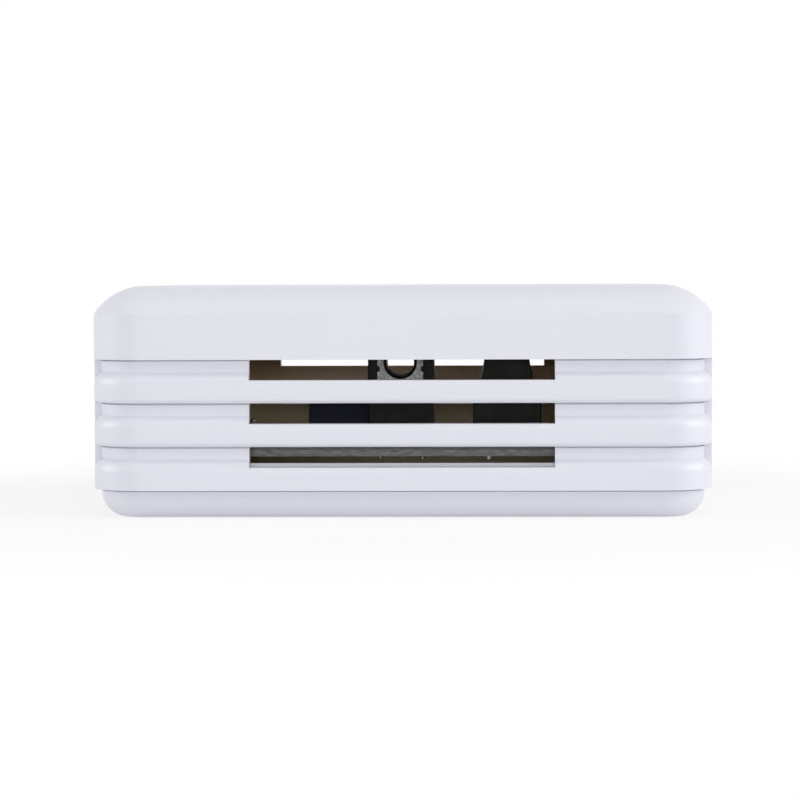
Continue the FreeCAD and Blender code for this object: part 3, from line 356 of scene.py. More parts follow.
white = finish("housing_white", WHITE, 0.33, drift=0.012, drift_size=30.0, grain=0.02,
               grain_size=0.25, gloss_spread=0.04)
# Painted shade on the inside faces: brown, turning paler low in the room as painted light
height_now = add(white.tree, "SeparateXYZ", {0: white.place}, 2)
upper = ramp(white.tree, height_now, *in_metres(PAINTED_SHADE_HEIGHTS), shape="SMOOTHSTEP")
painted_inside_shade = mix(white.tree, upper, PAINTED_INSIDE_LOW_LIGHT, PAINTED_INSIDE_SHADE)
plug(white, "Base Color", mix(white.tree, painted_shade_room(white.tree), white.tone, painted_inside_shade))
print("White plastic at", WHITE)

# %% [markdown]
# ## Shaping tools
# The shells follow one outline: a rectangle of 110 x 85 mm with round corners. A cover or a back
# is a stack of such outlines, each drawn in by some amount and lifted to some height, with faces
# between them. That stack is easy to write, and it gives even, smooth corners. The first and last
# outlines are closed with one face each.

# %% Outlines and stacks of them
CORNER_STEPS = 20
SHARP_ANGLE = math.radians(28)
SMALLEST_RADIUS = 0.02


def arc(centre, radius, start, end, steps):
    """Points of an arc in degrees, as pairs."""
    angles = [math.radians(start + (end - start) * i / steps) for i in range(steps + 1)]
    return [(centre[0] + radius * math.cos(a), centre[1] + radius * math.sin(a)) for a in angles]


def outline(inset, size=(WIDTH, DEPTH), corner=CORNER, steps=CORNER_STEPS, centre=(0, 0)):
    """Points in mm of a rectangle with round corners, drawn in by an inset."""
    points = []
    radius = max(corner - inset, SMALLEST_RADIUS)
    square = max(inset - corner, 0) + corner
    for i, signs in enumerate(((1, -1), (1, 1), (-1, 1), (-1, -1))):
        middle = [c + sign * (full / 2 - square) for c, sign, full in zip(centre, signs, size)]
        points += arc(middle, radius, 90 * i - 90, 90 * i, steps)
    return points


def smooth(mesh, sharp=SHARP_ANGLE):
    """Smooth shading inside the sharp edges."""
    mesh.shade_smooth()
    mesh.set_sharp_from_angle(angle=sharp)


def new_piece(name, form, finish_name=None, turn_outwards=True):
    """Turns a bmesh in mm into an object of the scene in metres."""
    if turn_outwards:
        bmesh.ops.recalc_face_normals(form, faces=form.faces)
    mesh = bpy.data.meshes.new(name)
    form.to_mesh(mesh)
    form.free()
    mesh.transform(Matrix.Scale(MM, 4))
    smooth(mesh)
    if finish_name:
        mesh.materials.append(finishes[finish_name].material)
    piece = bpy.data.objects.new(name, mesh)
    scene.collection.objects.link(piece)
    return piece


def stack(levels, form=None, **shape):
    """A closed form from outlines; levels are (inset, height) pairs in mm."""
    form = form or bmesh.new()
    rings = [[form.verts.new((x, y, z)) for x, y in outline(inset, **shape)] for inset, z in levels]
    for low, high in zip(rings, rings[1:]):
        for i in range(len(low)):
            j = (i + 1) % len(low)
            form.faces.new((low[i], low[j], high[j], high[i]))
    form.faces.new(rings[0])
    form.faces.new(rings[-1])
    return form


print("Outline has", len(outline(0)), "points")

# %% [markdown]
# Posts, screw holes and slots are joined to a shell or cut from it. Boolean modifiers do that well
# when both forms are closed. We collect the simple forms first, run one union and one cut, and
# keep the result as a plain mesh. No moulded edge is perfectly sharp, and the light that it
# catches makes a piece look real, so a small Bevel then breaks the edges of the back and of the
# small pieces. On the cover and the ribs the cuts leave edges that are too short for it, so there
# we only weight the normals by the size of the faces, which keeps the flat faces evenly shaded.

# %% Rods, blocks and cuts
ROD_STEPS, FINE_STEPS, ROUND_STEPS = 32, 48, 5
WELD_DISTANCE = 0.002


def add_rod(form, x, y, radius, low, high, steps=ROD_STEPS):
    made = bmesh.ops.create_cone(form, cap_ends=True, segments=steps, radius1=radius,
                                 radius2=radius, depth=high - low)
    bmesh.ops.translate(form, verts=made["verts"], vec=(x, y, (low + high) / 2))


def middle_of(box):
    return tuple(sum(side) / 2 for side in box)


def size_of(box):
    return tuple(high - low for low, high in box)


def span(middle, half):
    """The range that reaches half its length to each side of a middle."""
    return middle - half, middle + half


def add_block(form, *box):
    """A block between two values along each axis."""
    made = bmesh.ops.create_cube(form, size=1)
    bmesh.ops.scale(form, verts=made["verts"], vec=size_of(box))
    bmesh.ops.translate(form, verts=made["verts"], vec=middle_of(box))


def modify(piece, name, kind, **settings):
    modifier = piece.modifiers.new(name, kind)
    for setting, value in settings.items():
        setattr(modifier, setting, value)
    return modifier


def settle(piece):
    """Keeps what the modifiers give as a plain mesh."""
    seen = piece.evaluated_get(bpy.context.evaluated_depsgraph_get())
    mesh = bpy.data.meshes.new_from_object(seen)
    mesh.name = piece.name
    piece.modifiers.clear()
    piece.data = mesh


def combine(piece, tool_form, operation):
    """Joins simple forms to a piece, or cuts them from it."""
    tool = new_piece(piece.name + "_tool", tool_form)
    modify(piece, operation.lower(), "BOOLEAN", operation=operation, solver="EXACT", use_self=True,
           object=tool)
    settle(piece)
    bpy.data.objects.remove(tool)
    return piece


def finish_edges(piece, width=0.0, split_faces=True, full_width=False):
    """Evens the shading, and with a width in mm also rounds every sharp edge."""
    modify(piece, "weld", "WELD", merge_threshold=WELD_DISTANCE * MM)
    if width and split_faces:
        modify(piece, "split_faces", "TRIANGULATE", min_vertices=5)
    if width:
        # The short edges that a cut leaves would hold the whole rounding back
        modify(piece, "broken_edges", "BEVEL", width=width * MM, segments=2, limit_method="ANGLE",
               angle_limit=SHARP_ANGLE, miter_outer="MITER_ARC", use_clamp_overlap=not full_width,
               face_strength_mode="FSTR_ALL")
    modify(piece, "even_normals", "WEIGHTED_NORMAL", keep_sharp=True, use_face_influence=width > 0)


def dress(piece, *nodes):
    """Lets a piece stand for CAD nodes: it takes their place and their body."""
    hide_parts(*nodes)
    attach(piece, BODY_OF[nodes[0]])


def in_each_quarter(x, y):
    return [(sx * x, sy * y) for sx, sy in CORNERS]


record = frame["record"]
SLOT_OF = {part["node"]: part["material_slot"] for part in record["subparts"]}
BODY_OF = {node: body for body, nodes in record["behaviour"]["bodies"].items() for node in nodes}
HOUSING_SCREWS = in_each_quarter(46.0, 33.5)
BOARD_SCREWS = in_each_quarter(33.5, 33.5)
BOARD_UNDER, BOARD_TOP = 10.8, 12.4
print("Screws at", HOUSING_SCREWS[0], "and", BOARD_SCREWS[0])

# %% [markdown]
# ## The front cover
# The cover is the top third of the box. Its side rises straight for 8 mm, meets a crisp line, and
# turns over in one large arc to the flat front. Four bosses hang inside it and take the long
# screws from the back. The two numbers of the arc are enough: the arcs of the outside and of the
# inside share one centre.

# %% Front cover
COVER_LOW = 28.0
COVER_WALL = 2.2
ARC_RADIUS = 10.8
ARC_CENTRE = (9.11, 30.2)
ARC_STEPS = 18
# A rod's radius, low end and high end in mm
BOSS = (3.6, 28.15, 39.5)
BOSS_HOLE = (1.52, 27.0, 36.5)


def crown(radius, inset):
    """The arc from the flat front down to the side wall at an inset, as (inset, height) pairs."""
    start = math.degrees(math.acos((ARC_CENTRE[0] - inset) / radius))
    points = arc((0, ARC_CENTRE[1]), radius, 90, start, ARC_STEPS)
    return [(ARC_CENTRE[0] - x, z) for x, z in points]


outside = crown(ARC_RADIUS, 0.0)
inside = crown(ARC_RADIUS - COVER_WALL, COVER_WALL)
cover_levels = [*outside, (0.0, COVER_LOW), (COVER_WALL, COVER_LOW), *inside[::-1]]
cover = new_piece("cover_shell", stack(cover_levels), "housing_white")
bosses = bmesh.new()
holes = bmesh.new()
for x, y in HOUSING_SCREWS:
    add_rod(bosses, x, y, *BOSS)
    add_rod(holes, x, y, *BOSS_HOLE)
combine(cover, bosses, "UNION")
combine(cover, holes, "DIFFERENCE")
finish_edges(cover)
dress(cover, "front_cover")
print("Cover has", len(cover.data.polygons), "faces, its crown starts at", round(outside[-1][1], 2))

# %% [markdown]
# ## The ribbed middle shell
# Three ribs run along both long sides and round the corners. Each has a flat face, a rounded
# shoulder that falls back into a groove, and a vent slot above the shoulder. This is a shape with
# a rule: one section, repeated three times and swept round the outline. So Geometry Nodes make it.
# The section is a small curve that the script draws from the rib's sizes, and the tree sweeps it,
# fills the grooves at the two short ends, and cuts the slots with a repeated block. A tree's
# inputs are set by the identifier of their socket, so we look each one up by its name first.

# %% Geometry Nodes helpers


def new_tree(name, sizes):
    """An empty tree with named inputs. Returns it, its inputs, and a helper that adds to it."""
    tree = bpy.data.node_groups.new(name, "GeometryNodeTree")
    for label, kind, side in (("Geometry", "Geometry", "INPUT"),
                              *((label, kind, "INPUT") for label, kind in sizes.items()),
                              ("Geometry", "Geometry", "OUTPUT")):
        tree.interface.new_socket(label, in_out=side, socket_type="NodeSocket" + kind)
    return tree, add(tree, "NodeGroupInput", out=None), partial(add, tree)


def blocks_at(tree, points, size):
    """Blocks of one size, set on points and joined to real geometry."""
    block = add(tree, "MeshCube", {"Size": size})
    placed = add(tree, "InstanceOnPoints", {"Points": points, "Instance": block})
    return add(tree, "RealizeInstances", {0: placed})


def lift(tree, geometry, height, factor=1.0):
    """Moves geometry up by a height times a factor."""
    offset = add(tree, "ShaderNodeCombineXYZ", {2: calculate(tree, "MULTIPLY", height, factor)})
    return add(tree, "Transform", {"Geometry": geometry, "Translation": offset})


def close_tree(tree, geometry, material):
    """The end of every tree: real geometry in place of instances, and its finish."""
    real = add(tree, "RealizeInstances", {0: geometry})
    dressed = add(tree, "SetMaterial", {"Geometry": real, "Material": material})
    add(tree, "NodeGroupOutput", {0: dressed}, None)


def run(name, tree, base_mesh, finish_name, values, sharp=SHARP_ANGLE):
    """Runs a tree on a mesh with the given inputs, and keeps the result as a plain mesh."""
    piece = bpy.data.objects.new(name, base_mesh)
    scene.collection.objects.link(piece)
    modifier = modify(piece, "made_by_nodes", "NODES", node_group=tree)
    values = {**values, "Material": finishes[finish_name].material}
    for item in tree.interface.items_tree:
        if item.in_out == "INPUT" and item.name in values:
            modifier[item.identifier] = values[item.name]
    settle(piece)
    smooth(piece.data, sharp)
    return piece


def section_curve(name, points):
    """A closed flat curve; points in mm are (outward, downward) from the path it is swept on."""
    curve = bpy.data.curves.new(name, "CURVE")
    curve.dimensions = "3D"
    spline = curve.splines.new("POLY")
    spline.points.add(len(points) - 1)
    for target, (out, down) in zip(spline.points, points):
        target.co = (out * MM, down * MM, 0, 1)
    spline.use_cyclic_u = True
    holder = bpy.data.objects.new(name, curve)
    scene.collection.objects.link(holder)
    return holder


print("Helpers ready")

# %% The tree that sweeps the ribbed wall
ribbed_tree, given, grow = new_tree("ribbed_wall", {
    "Section": "Object", "Width": "Float", "Depth": "Float", "Corner Radius": "Float",
    "Corner Steps": "Int", "End Size": "Vector", "End Place": "Vector", "Slot Count": "Int",
    "Slot Size": "Vector", "First Slot": "Vector", "Slot Step": "Vector", "Material": "Material"})
flat = grow("CurvePrimitiveQuadrilateral", {"Width": given["Width"], "Height": given["Depth"]})
path = grow("FilletCurve", {"Curve": flat, "Radius": given["Corner Radius"],
                            "Count": given["Corner Steps"]}, mode="POLY")
section = grow("ObjectInfo", {"Object": given["Section"]}, "Geometry")
wall = grow("CurveToMesh", {"Curve": path, "Profile Curve": section})
opposite = calculate_vector(ribbed_tree, "MULTIPLY", given["End Place"], (-1.0, 1.0, 1.0))
end_points = grow("MeshLine", {"Count": 2, "Start Location": given["End Place"],
                               "Offset": opposite}, mode="END_POINTS")
ends = blocks_at(ribbed_tree, end_points, given["End Size"])
filled = grow("MeshBoolean", {"Mesh 2": [wall, ends]}, operation="UNION", solver="EXACT")
slot_points = grow("MeshLine", {"Count": given["Slot Count"], "Offset": given["Slot Step"],
                                "Start Location": given["First Slot"]}, mode="OFFSET")
slots = blocks_at(ribbed_tree, slot_points, given["Slot Size"])
vented = grow("MeshBoolean", {"Mesh 1": filled, "Mesh 2": slots}, operation="DIFFERENCE",
              solver="EXACT")
close_tree(ribbed_tree, vented, given["Material"])
print("The tree has", len(ribbed_tree.nodes), "nodes")

# %% Middle shell
BACK_HEIGHT = 5.0
RIB_COUNT, RIB_PITCH, RIB_FACE, RIB_ARC, RIB_LOWER_ROUND = 3, 7.667, 3.11, 2.67, 0.8
SHOULDER_STEPS = 10
GROOVE = 1.3
GAP_HEIGHT, GAP_DEPTH = 0.26, 0.55
WALL = 3.3
LIP_INSET, LIP_HEIGHT = 2.35, 2.0
SLOT_SILL, SLOT_WIDTH, SLOT_CENTRE, SLOT_REACH = 4.05, 53.7, 0.11, DEPTH + 10
TUBE_LOW, TUBE_RADIUS, TUBE_HOLE_RADIUS = 9.8, 4.0, 1.7
WEB_HALF, WEB_SINK = 0.8, 1.0


def shadow_gap(z):
    """The fine dark gap where a groove's wall meets what hangs over it at a height."""
    return [(GROOVE, z - GAP_HEIGHT), (GROOVE + GAP_DEPTH, z - GAP_HEIGHT), (GROOVE + GAP_DEPTH, z)]


groove_angle = math.degrees(math.acos((RIB_ARC - GROOVE) / RIB_ARC))
section_points = [(0.0, BACK_HEIGHT)]
for k in range(RIB_COUNT):
    low = BACK_HEIGHT + k * RIB_PITCH
    if k:
        lower_round = arc((0, low + RIB_LOWER_ROUND), RIB_LOWER_ROUND, -90, 0, ROUND_STEPS)
        section_points += shadow_gap(low)
        section_points += [(RIB_LOWER_ROUND - x, z) for x, z in lower_round]
    shoulder = arc((0, low + RIB_FACE), RIB_ARC, 0, groove_angle, SHOULDER_STEPS)
    section_points += [(RIB_ARC - x, z) for x, z in shoulder]
lip_top = COVER_LOW + LIP_HEIGHT
section_points += [*shadow_gap(COVER_LOW), (LIP_INSET, COVER_LOW), (LIP_INSET, lip_top),
                   (WALL, lip_top), (WALL, BACK_HEIGHT)]
# The path is the outline itself, so a point's distance outwards is minus its inset
rib_section = section_curve("rib_section", [(-inset, -z) for inset, z in section_points][::-1])
end_length = DEPTH - 2 * CORNER
slot_middle = BACK_HEIGHT + (SLOT_SILL + RIB_PITCH) / 2
middle = run("ribbed_shell", ribbed_tree, bpy.data.meshes.new("ribbed_shell"), "housing_white", {
    "Section": rib_section, "Width": WIDTH * MM, "Depth": DEPTH * MM, "Corner Radius": CORNER * MM,
    "Corner Steps": CORNER_STEPS, "Slot Count": RIB_COUNT,
    "End Size": in_metres((WALL, end_length, COVER_LOW - BACK_HEIGHT)),
    "End Place": in_metres(((WIDTH - WALL) / 2, 0, (COVER_LOW + BACK_HEIGHT) / 2)),
    "Slot Size": in_metres((SLOT_WIDTH, SLOT_REACH, RIB_PITCH - SLOT_SILL)),
    "First Slot": in_metres((SLOT_CENTRE, 0, slot_middle)),
    "Slot Step": in_metres((0, 0, RIB_PITCH))})
bpy.data.objects.remove(rib_section)

tubes = bmesh.new()
tube_holes = bmesh.new()
web_ends = in_each_quarter(WIDTH / 2 - WALL + WEB_SINK, DEPTH / 2 - WALL + WEB_SINK)
for (x, y), (end_x, end_y) in zip(HOUSING_SCREWS, web_ends):
    add_rod(tubes, x, y, TUBE_RADIUS, TUBE_LOW, COVER_LOW)
    add_block(tubes, sorted((x, end_x)), span(y, WEB_HALF), (TUBE_LOW, COVER_LOW))
    add_block(tubes, span(x, WEB_HALF), sorted((y, end_y)), (TUBE_LOW, COVER_LOW))
    add_rod(tube_holes, x, y, TUBE_HOLE_RADIUS, TUBE_LOW - 1, COVER_LOW + 1)
combine(middle, tubes, "UNION")
combine(middle, tube_holes, "DIFFERENCE")
finish_edges(middle)
dress(middle, "middle_shell")
print("Middle shell has", len(middle.data.polygons), "faces")

# %% [markdown]
# ## The back shell
# The back is a shallow tray, drawn in a little from the ribs, so that the box seems to float on
# the wall. Its lower edge is rounded. A thin tongue rises inside the ribbed shell and closes the
# joint, and posts carry the circuit board. The underside has the sinks for four screws, two
# keyholes to hang it by, and a round opening for the cable.

# %% Back shell
BACK_ROUND, BACK_STEPS = 4.4, 12
FLOOR_THICKNESS = 2.2
TONGUE_OUTER, TONGUE_INNER, TONGUE_TOP = 3.45, 4.65, 9.65
# Rods again: radius, low end and high end in mm
SCREW_POST, BOARD_POST = (4.5, 1.1, TONGUE_TOP), (3.0, 1.1, BOARD_UNDER)
SCREW_HOLE, SCREW_SINK, BOARD_HOLE = (1.7, -1.0, 11.0), (3.1, -1.0, 3.0), (1.12, 5.4, 12.0)
KEY_HEAD, KEY_END = (4.2, -1.0, 3.4), (2.2, -1.0, 3.3)
KEY_SLOT_HEIGHTS = (-1.0, 3.2)
KEYHOLE_END, KEYHOLE_TRAVEL = 30.0, 6.5
CABLE_X = 43.6
CABLE_HOLE, CABLE_SINK = (4.2, -1.0, 3.5), (5.25, -1.0, 1.0)
BACK_EDGE = 0.15
under_edge = [(GROOVE + BACK_ROUND - x, BACK_ROUND + z)
              for x, z in arc((0, 0), BACK_ROUND, -90, 0, BACK_STEPS)]
back_levels = [*under_edge, *shadow_gap(BACK_HEIGHT), (TONGUE_OUTER, BACK_HEIGHT),
               (TONGUE_OUTER, TONGUE_TOP), (TONGUE_INNER, TONGUE_TOP),
               (TONGUE_INNER, FLOOR_THICKNESS)]
back = new_piece("back_tray", stack(back_levels), "housing_white")
posts = bmesh.new()
openings = bmesh.new()
for screw, board_screw in zip(HOUSING_SCREWS, BOARD_SCREWS):
    add_rod(posts, *screw, *SCREW_POST)
    add_rod(posts, *board_screw, *BOARD_POST)
    add_rod(openings, *screw, *SCREW_HOLE)
    add_rod(openings, *screw, *SCREW_SINK)
    add_rod(openings, *board_screw, *BOARD_HOLE)
for end in (KEYHOLE_END, -KEYHOLE_END):
    add_rod(openings, end - KEYHOLE_TRAVEL, 0, *KEY_HEAD)
    add_rod(openings, end, 0, *KEY_END)
    add_block(openings, (end - KEYHOLE_TRAVEL, end), span(0, KEY_END[0]), KEY_SLOT_HEIGHTS)
add_rod(openings, CABLE_X, 0, *CABLE_HOLE)
add_rod(openings, CABLE_X, 0, *CABLE_SINK)
combine(back, posts, "UNION")
combine(back, openings, "DIFFERENCE")
finish_edges(back, BACK_EDGE)
dress(back, "back_shell")
print("Back shell has", len(back.data.polygons), "faces")

# %% [markdown]
# ## Screws
# Every screw here is a turned body with a recess for the driver, and a thread. The body is turned
# in code. The thread follows a helix, so Geometry Nodes draw it: a spiral curve, swept with a
# four-sided ridge. The same tree then sets the screw on each point of the mesh that it is given.
# The four long screws of the housing, the four of the board and the four of the terminals all come
# from it, with other sizes.

# %% Turned forms
HEAD_ROUND, POINT_RADIUS = 0.6, 0.3


def turned(profile, centre=(0, 0), steps=ROD_STEPS, closed=False, form=None):
    """Turns (radius, height) pairs in mm round an upright axis. A radius of 0 makes a pole."""
    form = form or bmesh.new()
    turns = [2 * math.pi * i / steps for i in range(steps)]
    rings = []
    for radius, z in profile:
        spots = [(centre[0] + radius * math.cos(t), centre[1] + radius * math.sin(t), z)
                 for t in (turns if radius else turns[:1])]
        rings.append([form.verts.new(spot) for spot in spots])
    pairs = list(zip(rings, rings[1:])) + ([(rings[-1], rings[0])] if closed else [])
    for low, high in pairs:
        for i in range(steps):
            j = (i + 1) % steps
            ring = [low[i % len(low)], low[j % len(low)], high[j % len(high)], high[i % len(high)]]
            form.faces.new(list(dict.fromkeys(ring)))
    return form


def screw_body(name, head, core, length, tip, recess):
    """A screw that looks down from its head's top at z = 0. Recess blocks are (x, y, depth)."""
    radius, height = head
    dome = [(radius - HEAD_ROUND + x, -HEAD_ROUND + z)
            for x, z in arc((0, 0), HEAD_ROUND, 90, 0, ROUND_STEPS)]
    form = turned([(0, 0), *dome, (radius, -height), (core, -height), (core, -length + tip),
                   (POINT_RADIUS, -length), (0, -length)])
    cut = bmesh.new()
    for x, y, depth in recess:
        add_block(cut, span(0, x / 2), span(0, y / 2), (-depth, 1.0))
    return combine(new_piece(name, form), cut, "DIFFERENCE")


print("A screw body has a head, a core and a tip")

# %% The tree for threaded screws
screw_tree, given, grow = new_tree("threaded_screws", {
    "Screw Body": "Object", "Thread Radius": "Float", "Thread Start": "Float",
    "Thread Length": "Float", "Pitch": "Float", "Ridge": "Float", "Turn": "Vector",
    "Material": "Material"})
turns = calculate(screw_tree, "DIVIDE", given["Thread Length"], given["Pitch"])
crest = calculate(screw_tree, "SUBTRACT", given["Thread Radius"], given["Ridge"])
helix = grow("CurveSpiral", {"Resolution": 16, "Rotations": turns, "Start Radius": crest,
                             "End Radius": crest, "Height": given["Thread Length"]})
ridge = grow("CurvePrimitiveCircle", {"Resolution": 4, "Radius": given["Ridge"]})
thread = grow("CurveToMesh", {"Curve": helix, "Profile Curve": ridge, "Fill Caps": True})
down = calculate(screw_tree, "ADD", given["Thread Start"], given["Thread Length"])
lowered = lift(screw_tree, thread, down, -1.0)
turned_body = grow("ObjectInfo", {"Object": given["Screw Body"]}, "Geometry")
whole = grow("JoinGeometry", {0: [turned_body, lowered]})
placed = grow("InstanceOnPoints", {"Points": given["Geometry"], "Instance": whole,
                                   "Rotation": given["Turn"]})
close_tree(screw_tree, placed, given["Material"])
print("The screw tree has", len(screw_tree.nodes), "nodes")


# %% Points to set things on
def points_mesh(name, places, sizes=None):
    """A mesh of loose points in metres, from places in mm. Sizes are kept as an attribute."""
    mesh = bpy.data.meshes.new(name)
    mesh.from_pydata([in_metres(place) for place in places], [], [])
    if sizes:
        kept_sizes = mesh.attributes.new("size", "FLOAT_VECTOR", "POINT")
        for target, size in zip(kept_sizes.data, sizes):
            target.vector = in_metres(size)
    return mesh


TERMINAL_X = 18.7
TERMINAL_Y = (-27.96, -22.88, -17.80, -12.72)
UPRIGHT, UPSIDE_DOWN = (0, 0, 0), (math.pi, 0, 0)
CROSS = ((3.2, 0.7, 1.0), (0.7, 3.2, 1.0))
SMALL_CROSS = ((2.4, 0.6, 0.9), (0.6, 2.4, 0.9))
PLAIN_SLOT = ((4.0, 0.6, 0.9),)
THREAD_INPUTS = ("Thread Radius", "Thread Start", "Thread Length", "Pitch", "Ridge")
SCREW_SETS = {
    # name: (head, core, length, tip, recess), places, turn, thread sizes
    "housing_screws": (((2.8, 1.8), 1.25, 33.8, 1.5, CROSS), [(*xy, 1.2) for xy in HOUSING_SCREWS],
                       UPSIDE_DOWN, (1.5, 19.5, 12.6, 1.1, 0.22)),
    "board_screws": (((2.2, 1.6), 0.9, 7.6, 0.9, SMALL_CROSS), [(*xy, 14.0) for xy in BOARD_SCREWS],
                     UPRIGHT, (1.1, 3.3, 3.2, 0.8, 0.2)),
}
for number, y in enumerate(TERMINAL_Y, 1):
    SCREW_SETS[f"terminal_screw_{number}"] = (
        ((1.8, 1.8), 1.28, 11.0, 0.3, PLAIN_SLOT), [(TERMINAL_X, y, 29.49)], UPRIGHT,
        (1.5, 2.6, 7.9, 0.5, 0.16))
for name, (shape, places, turn, thread_sizes) in SCREW_SETS.items():
    body = screw_body(name + "_body", *shape)
    screws = run("threaded_" + name, screw_tree, points_mesh(name, places), "screw_steel", {
        "Screw Body": body, "Turn": turn, **dict(zip(THREAD_INPUTS, in_metres(thread_sizes)))})
    bpy.data.objects.remove(body)
    dress(screws, name)
    print(name, len(screws.data.polygons), "faces")

# %% [markdown]
# ## The rubber grommet
# The cable enters the back through a soft grommet: a neck that fits the hole, with a rounded
# flange on each side. A ring like that is a closed section turned round an axis. The small rounds
# belong to the section, so no bevel is needed afterwards.

# %% Wire grommet
GROMMET_BORE, GROMMET_NECK, GROMMET_FLANGE, SOFT = 3.0, 4.15, 5.2, 0.3
GROMMET_LOW, GROMMET_SEAT, GROMMET_RISE, GROMMET_TOP = 0.0, 1.0, 2.2, 3.2
inner, outer = GROMMET_BORE + SOFT, GROMMET_FLANGE - SOFT
upper = [(inner, GROMMET_TOP - SOFT, 180), (outer, GROMMET_TOP - SOFT, 90),
         (outer, GROMMET_RISE + SOFT, 0)]
lower = [(outer, GROMMET_SEAT - SOFT, 90), (outer, GROMMET_LOW + SOFT, 0),
         (inner, GROMMET_LOW + SOFT, -90)]
above, below = [[point for x, z, start in rounds
                 for point in arc((x, z), SOFT, start, start - 90, ROUND_STEPS)]
                for rounds in (upper, lower)]
section_points = [*above, (GROMMET_NECK, GROMMET_RISE), (GROMMET_NECK, GROMMET_SEAT), *below]
form = turned(section_points, (CABLE_X, 0), closed=True)
dress(new_piece("rubber_grommet", form, "grommet_rubber"), "wire_grommet")
print("Grommet section has", len(section_points), "points")

# %% [markdown]
# ## The circuit board's laminate
# The board is glass cloth in resin, with a green lacquer on both faces. Its edge shows in the
# lowest slot of the photograph: grey-green, with fibres that run along it. So the faces and the
# edge are two finishes on one mesh. The streaks are noise that is stretched along the board and
# squeezed across its thickness. A band along the top of the edge is darker: that is painted shade,
# where the rib above shades the edge, and a Map Range on the height places it.

# %% Board finishes
LACQUER_GREEN = (0.012, 0.085, 0.040)
WEAVE = {"Scale": 1500.0, "Distortion": 1.5, "Detail": 1.0}
WEAVE_HEIGHT, WEAVE_STRENGTH = 0.01, 0.25
EDGE_DARK = (0.055, 0.058, 0.050)
EDGE_PALE = (0.30, 0.31, 0.29)
FIBRE_STRETCH = (0.55, 1.0, 11.0)
FIBRES = {"Scale": 900.0, "Detail": 5.0, "Roughness": 0.7}
FIBRE_CONTRAST = (0.36, 0.62)
# Painted shade: the heights in mm of the darker band along the top of the board's edge, and how
# dark it gets
TOP_SHADE_BAND, TOP_SHADE_SHARE = (11.85, 12.0), 0.55

mask = finish("board_laminate", LACQUER_GREEN, 0.28, drift=0.15, drift_size=8.0, grain=0.015,
              grain_size=0.3)
weave = add(mask.tree, "TexWave", {"Vector": mask.place, **WEAVE}, "Fac", wave_type="BANDS",
            bands_direction="DIAGONAL")
plug(mask, "Normal", add(mask.tree, "Bump", {
    "Height": weave, "Strength": WEAVE_STRENGTH, "Distance": WEAVE_HEIGHT * MM,
    "Normal": mask.bump}))

edge = finish("board_edge", EDGE_PALE, 0.7, drift=0.1, drift_size=3.0, grain=0.06, grain_size=0.1)
stretched = add(edge.tree, "Mapping", {"Vector": edge.place, "Scale": FIBRE_STRETCH})
fibres = add(edge.tree, "TexNoise", {"Vector": stretched, **FIBRES}, "Fac")
streaked = mix(edge.tree, ramp(edge.tree, fibres, *FIBRE_CONTRAST), EDGE_DARK, edge.tone)
# Painted shade along the top of the edge, where the rib above shades it
edge_height = add(edge.tree, "SeparateXYZ", {0: edge.place}, 2)
painted_top_shade = ramp(edge.tree, edge_height, *in_metres(TOP_SHADE_BAND), 0.0, TOP_SHADE_SHARE)
plug(edge, "Base Color", mix(edge.tree, painted_top_shade, streaked, EDGE_DARK))
print("Board edge runs from", EDGE_DARK, "to", EDGE_PALE)

# %% [markdown]
# ## The filled resin, the sleeve and the lens
# The choke is sealed with resin full of sand: pale and dark grains in grey. A cell pattern gives
# each grain its own tone. The capacitors wear a shrunk sleeve with a pale stripe down the side of
# their short lead. The small light has a cloudy lens.

# %% More finishes
CELL_SIZE, PALE_CELLS, PALE_GRAIN = 0.32, (0.45, 1.0), (0.90, 0.90, 0.91)
STRIPE_HALF, STRIPE_START, STRIPE_REACH, STRIPE_TONE = 1.1, 0.8, 0.2, (0.35, 0.36, 0.37)
LENS_CLEARNESS = 0.35
# Each capacitor's place, with its radius and top in mm
CAPACITORS = {(-1.5, 6.5): (4.0, 23.9), (19.2, -5.85): (3.15, 23.4)}

potting = finish("potting_grey", (0.58, 0.58, 0.585), 0.75, drift=0.15, drift_size=1.5, grain=0.25,
                 grain_size=0.3)
cells = add(potting.tree, "TexVoronoi", {"Vector": potting.place, "Scale": 1 / (CELL_SIZE * MM)},
            "Color", feature="F1")
cell_tone = add(potting.tree, "SeparateColor", {"Color": cells})
plug(potting, "Base Color", mix(potting.tree, ramp(potting.tree, cell_tone, *PALE_CELLS),
                                potting.tone, PALE_GRAIN))

sleeve = finish("capacitor_sleeve", (0.012, 0.014, 0.028), 0.3, drift=0.1, drift_size=3.0,
                grain=0.02)
tree = sleeve.tree
along_x, along_y, _ = add(tree, "SeparateXYZ", {0: sleeve.place}, None)
stripes = 0.0
for (x, y), (radius, _) in CAPACITORS.items():
    across = calculate(tree, "ABSOLUTE", calculate(tree, "SUBTRACT", along_y, y * MM))
    narrow = calculate(tree, "LESS_THAN", across, STRIPE_HALF * MM)
    side = calculate(tree, "GREATER_THAN", along_x, (x + radius * STRIPE_START) * MM)
    near = calculate(tree, "LESS_THAN", along_x, (x + radius + STRIPE_REACH) * MM)
    stripe = calculate(tree, "MULTIPLY", calculate(tree, "MULTIPLY", narrow, side), near)
    stripes = calculate(tree, "MAXIMUM", stripes, stripe)
plug(sleeve, "Base Color", mix(tree, stripes, sleeve.tone, STRIPE_TONE))

lens = finish("light_lens", (0.72, 0.76, 0.62), 0.25, drift=0.05, drift_size=0.5, grain=0.01,
              grain_size=0.05)
lens.shader.inputs["Transmission Weight"].default_value = LENS_CLEARNESS
print(len(finishes), "finishes in all")

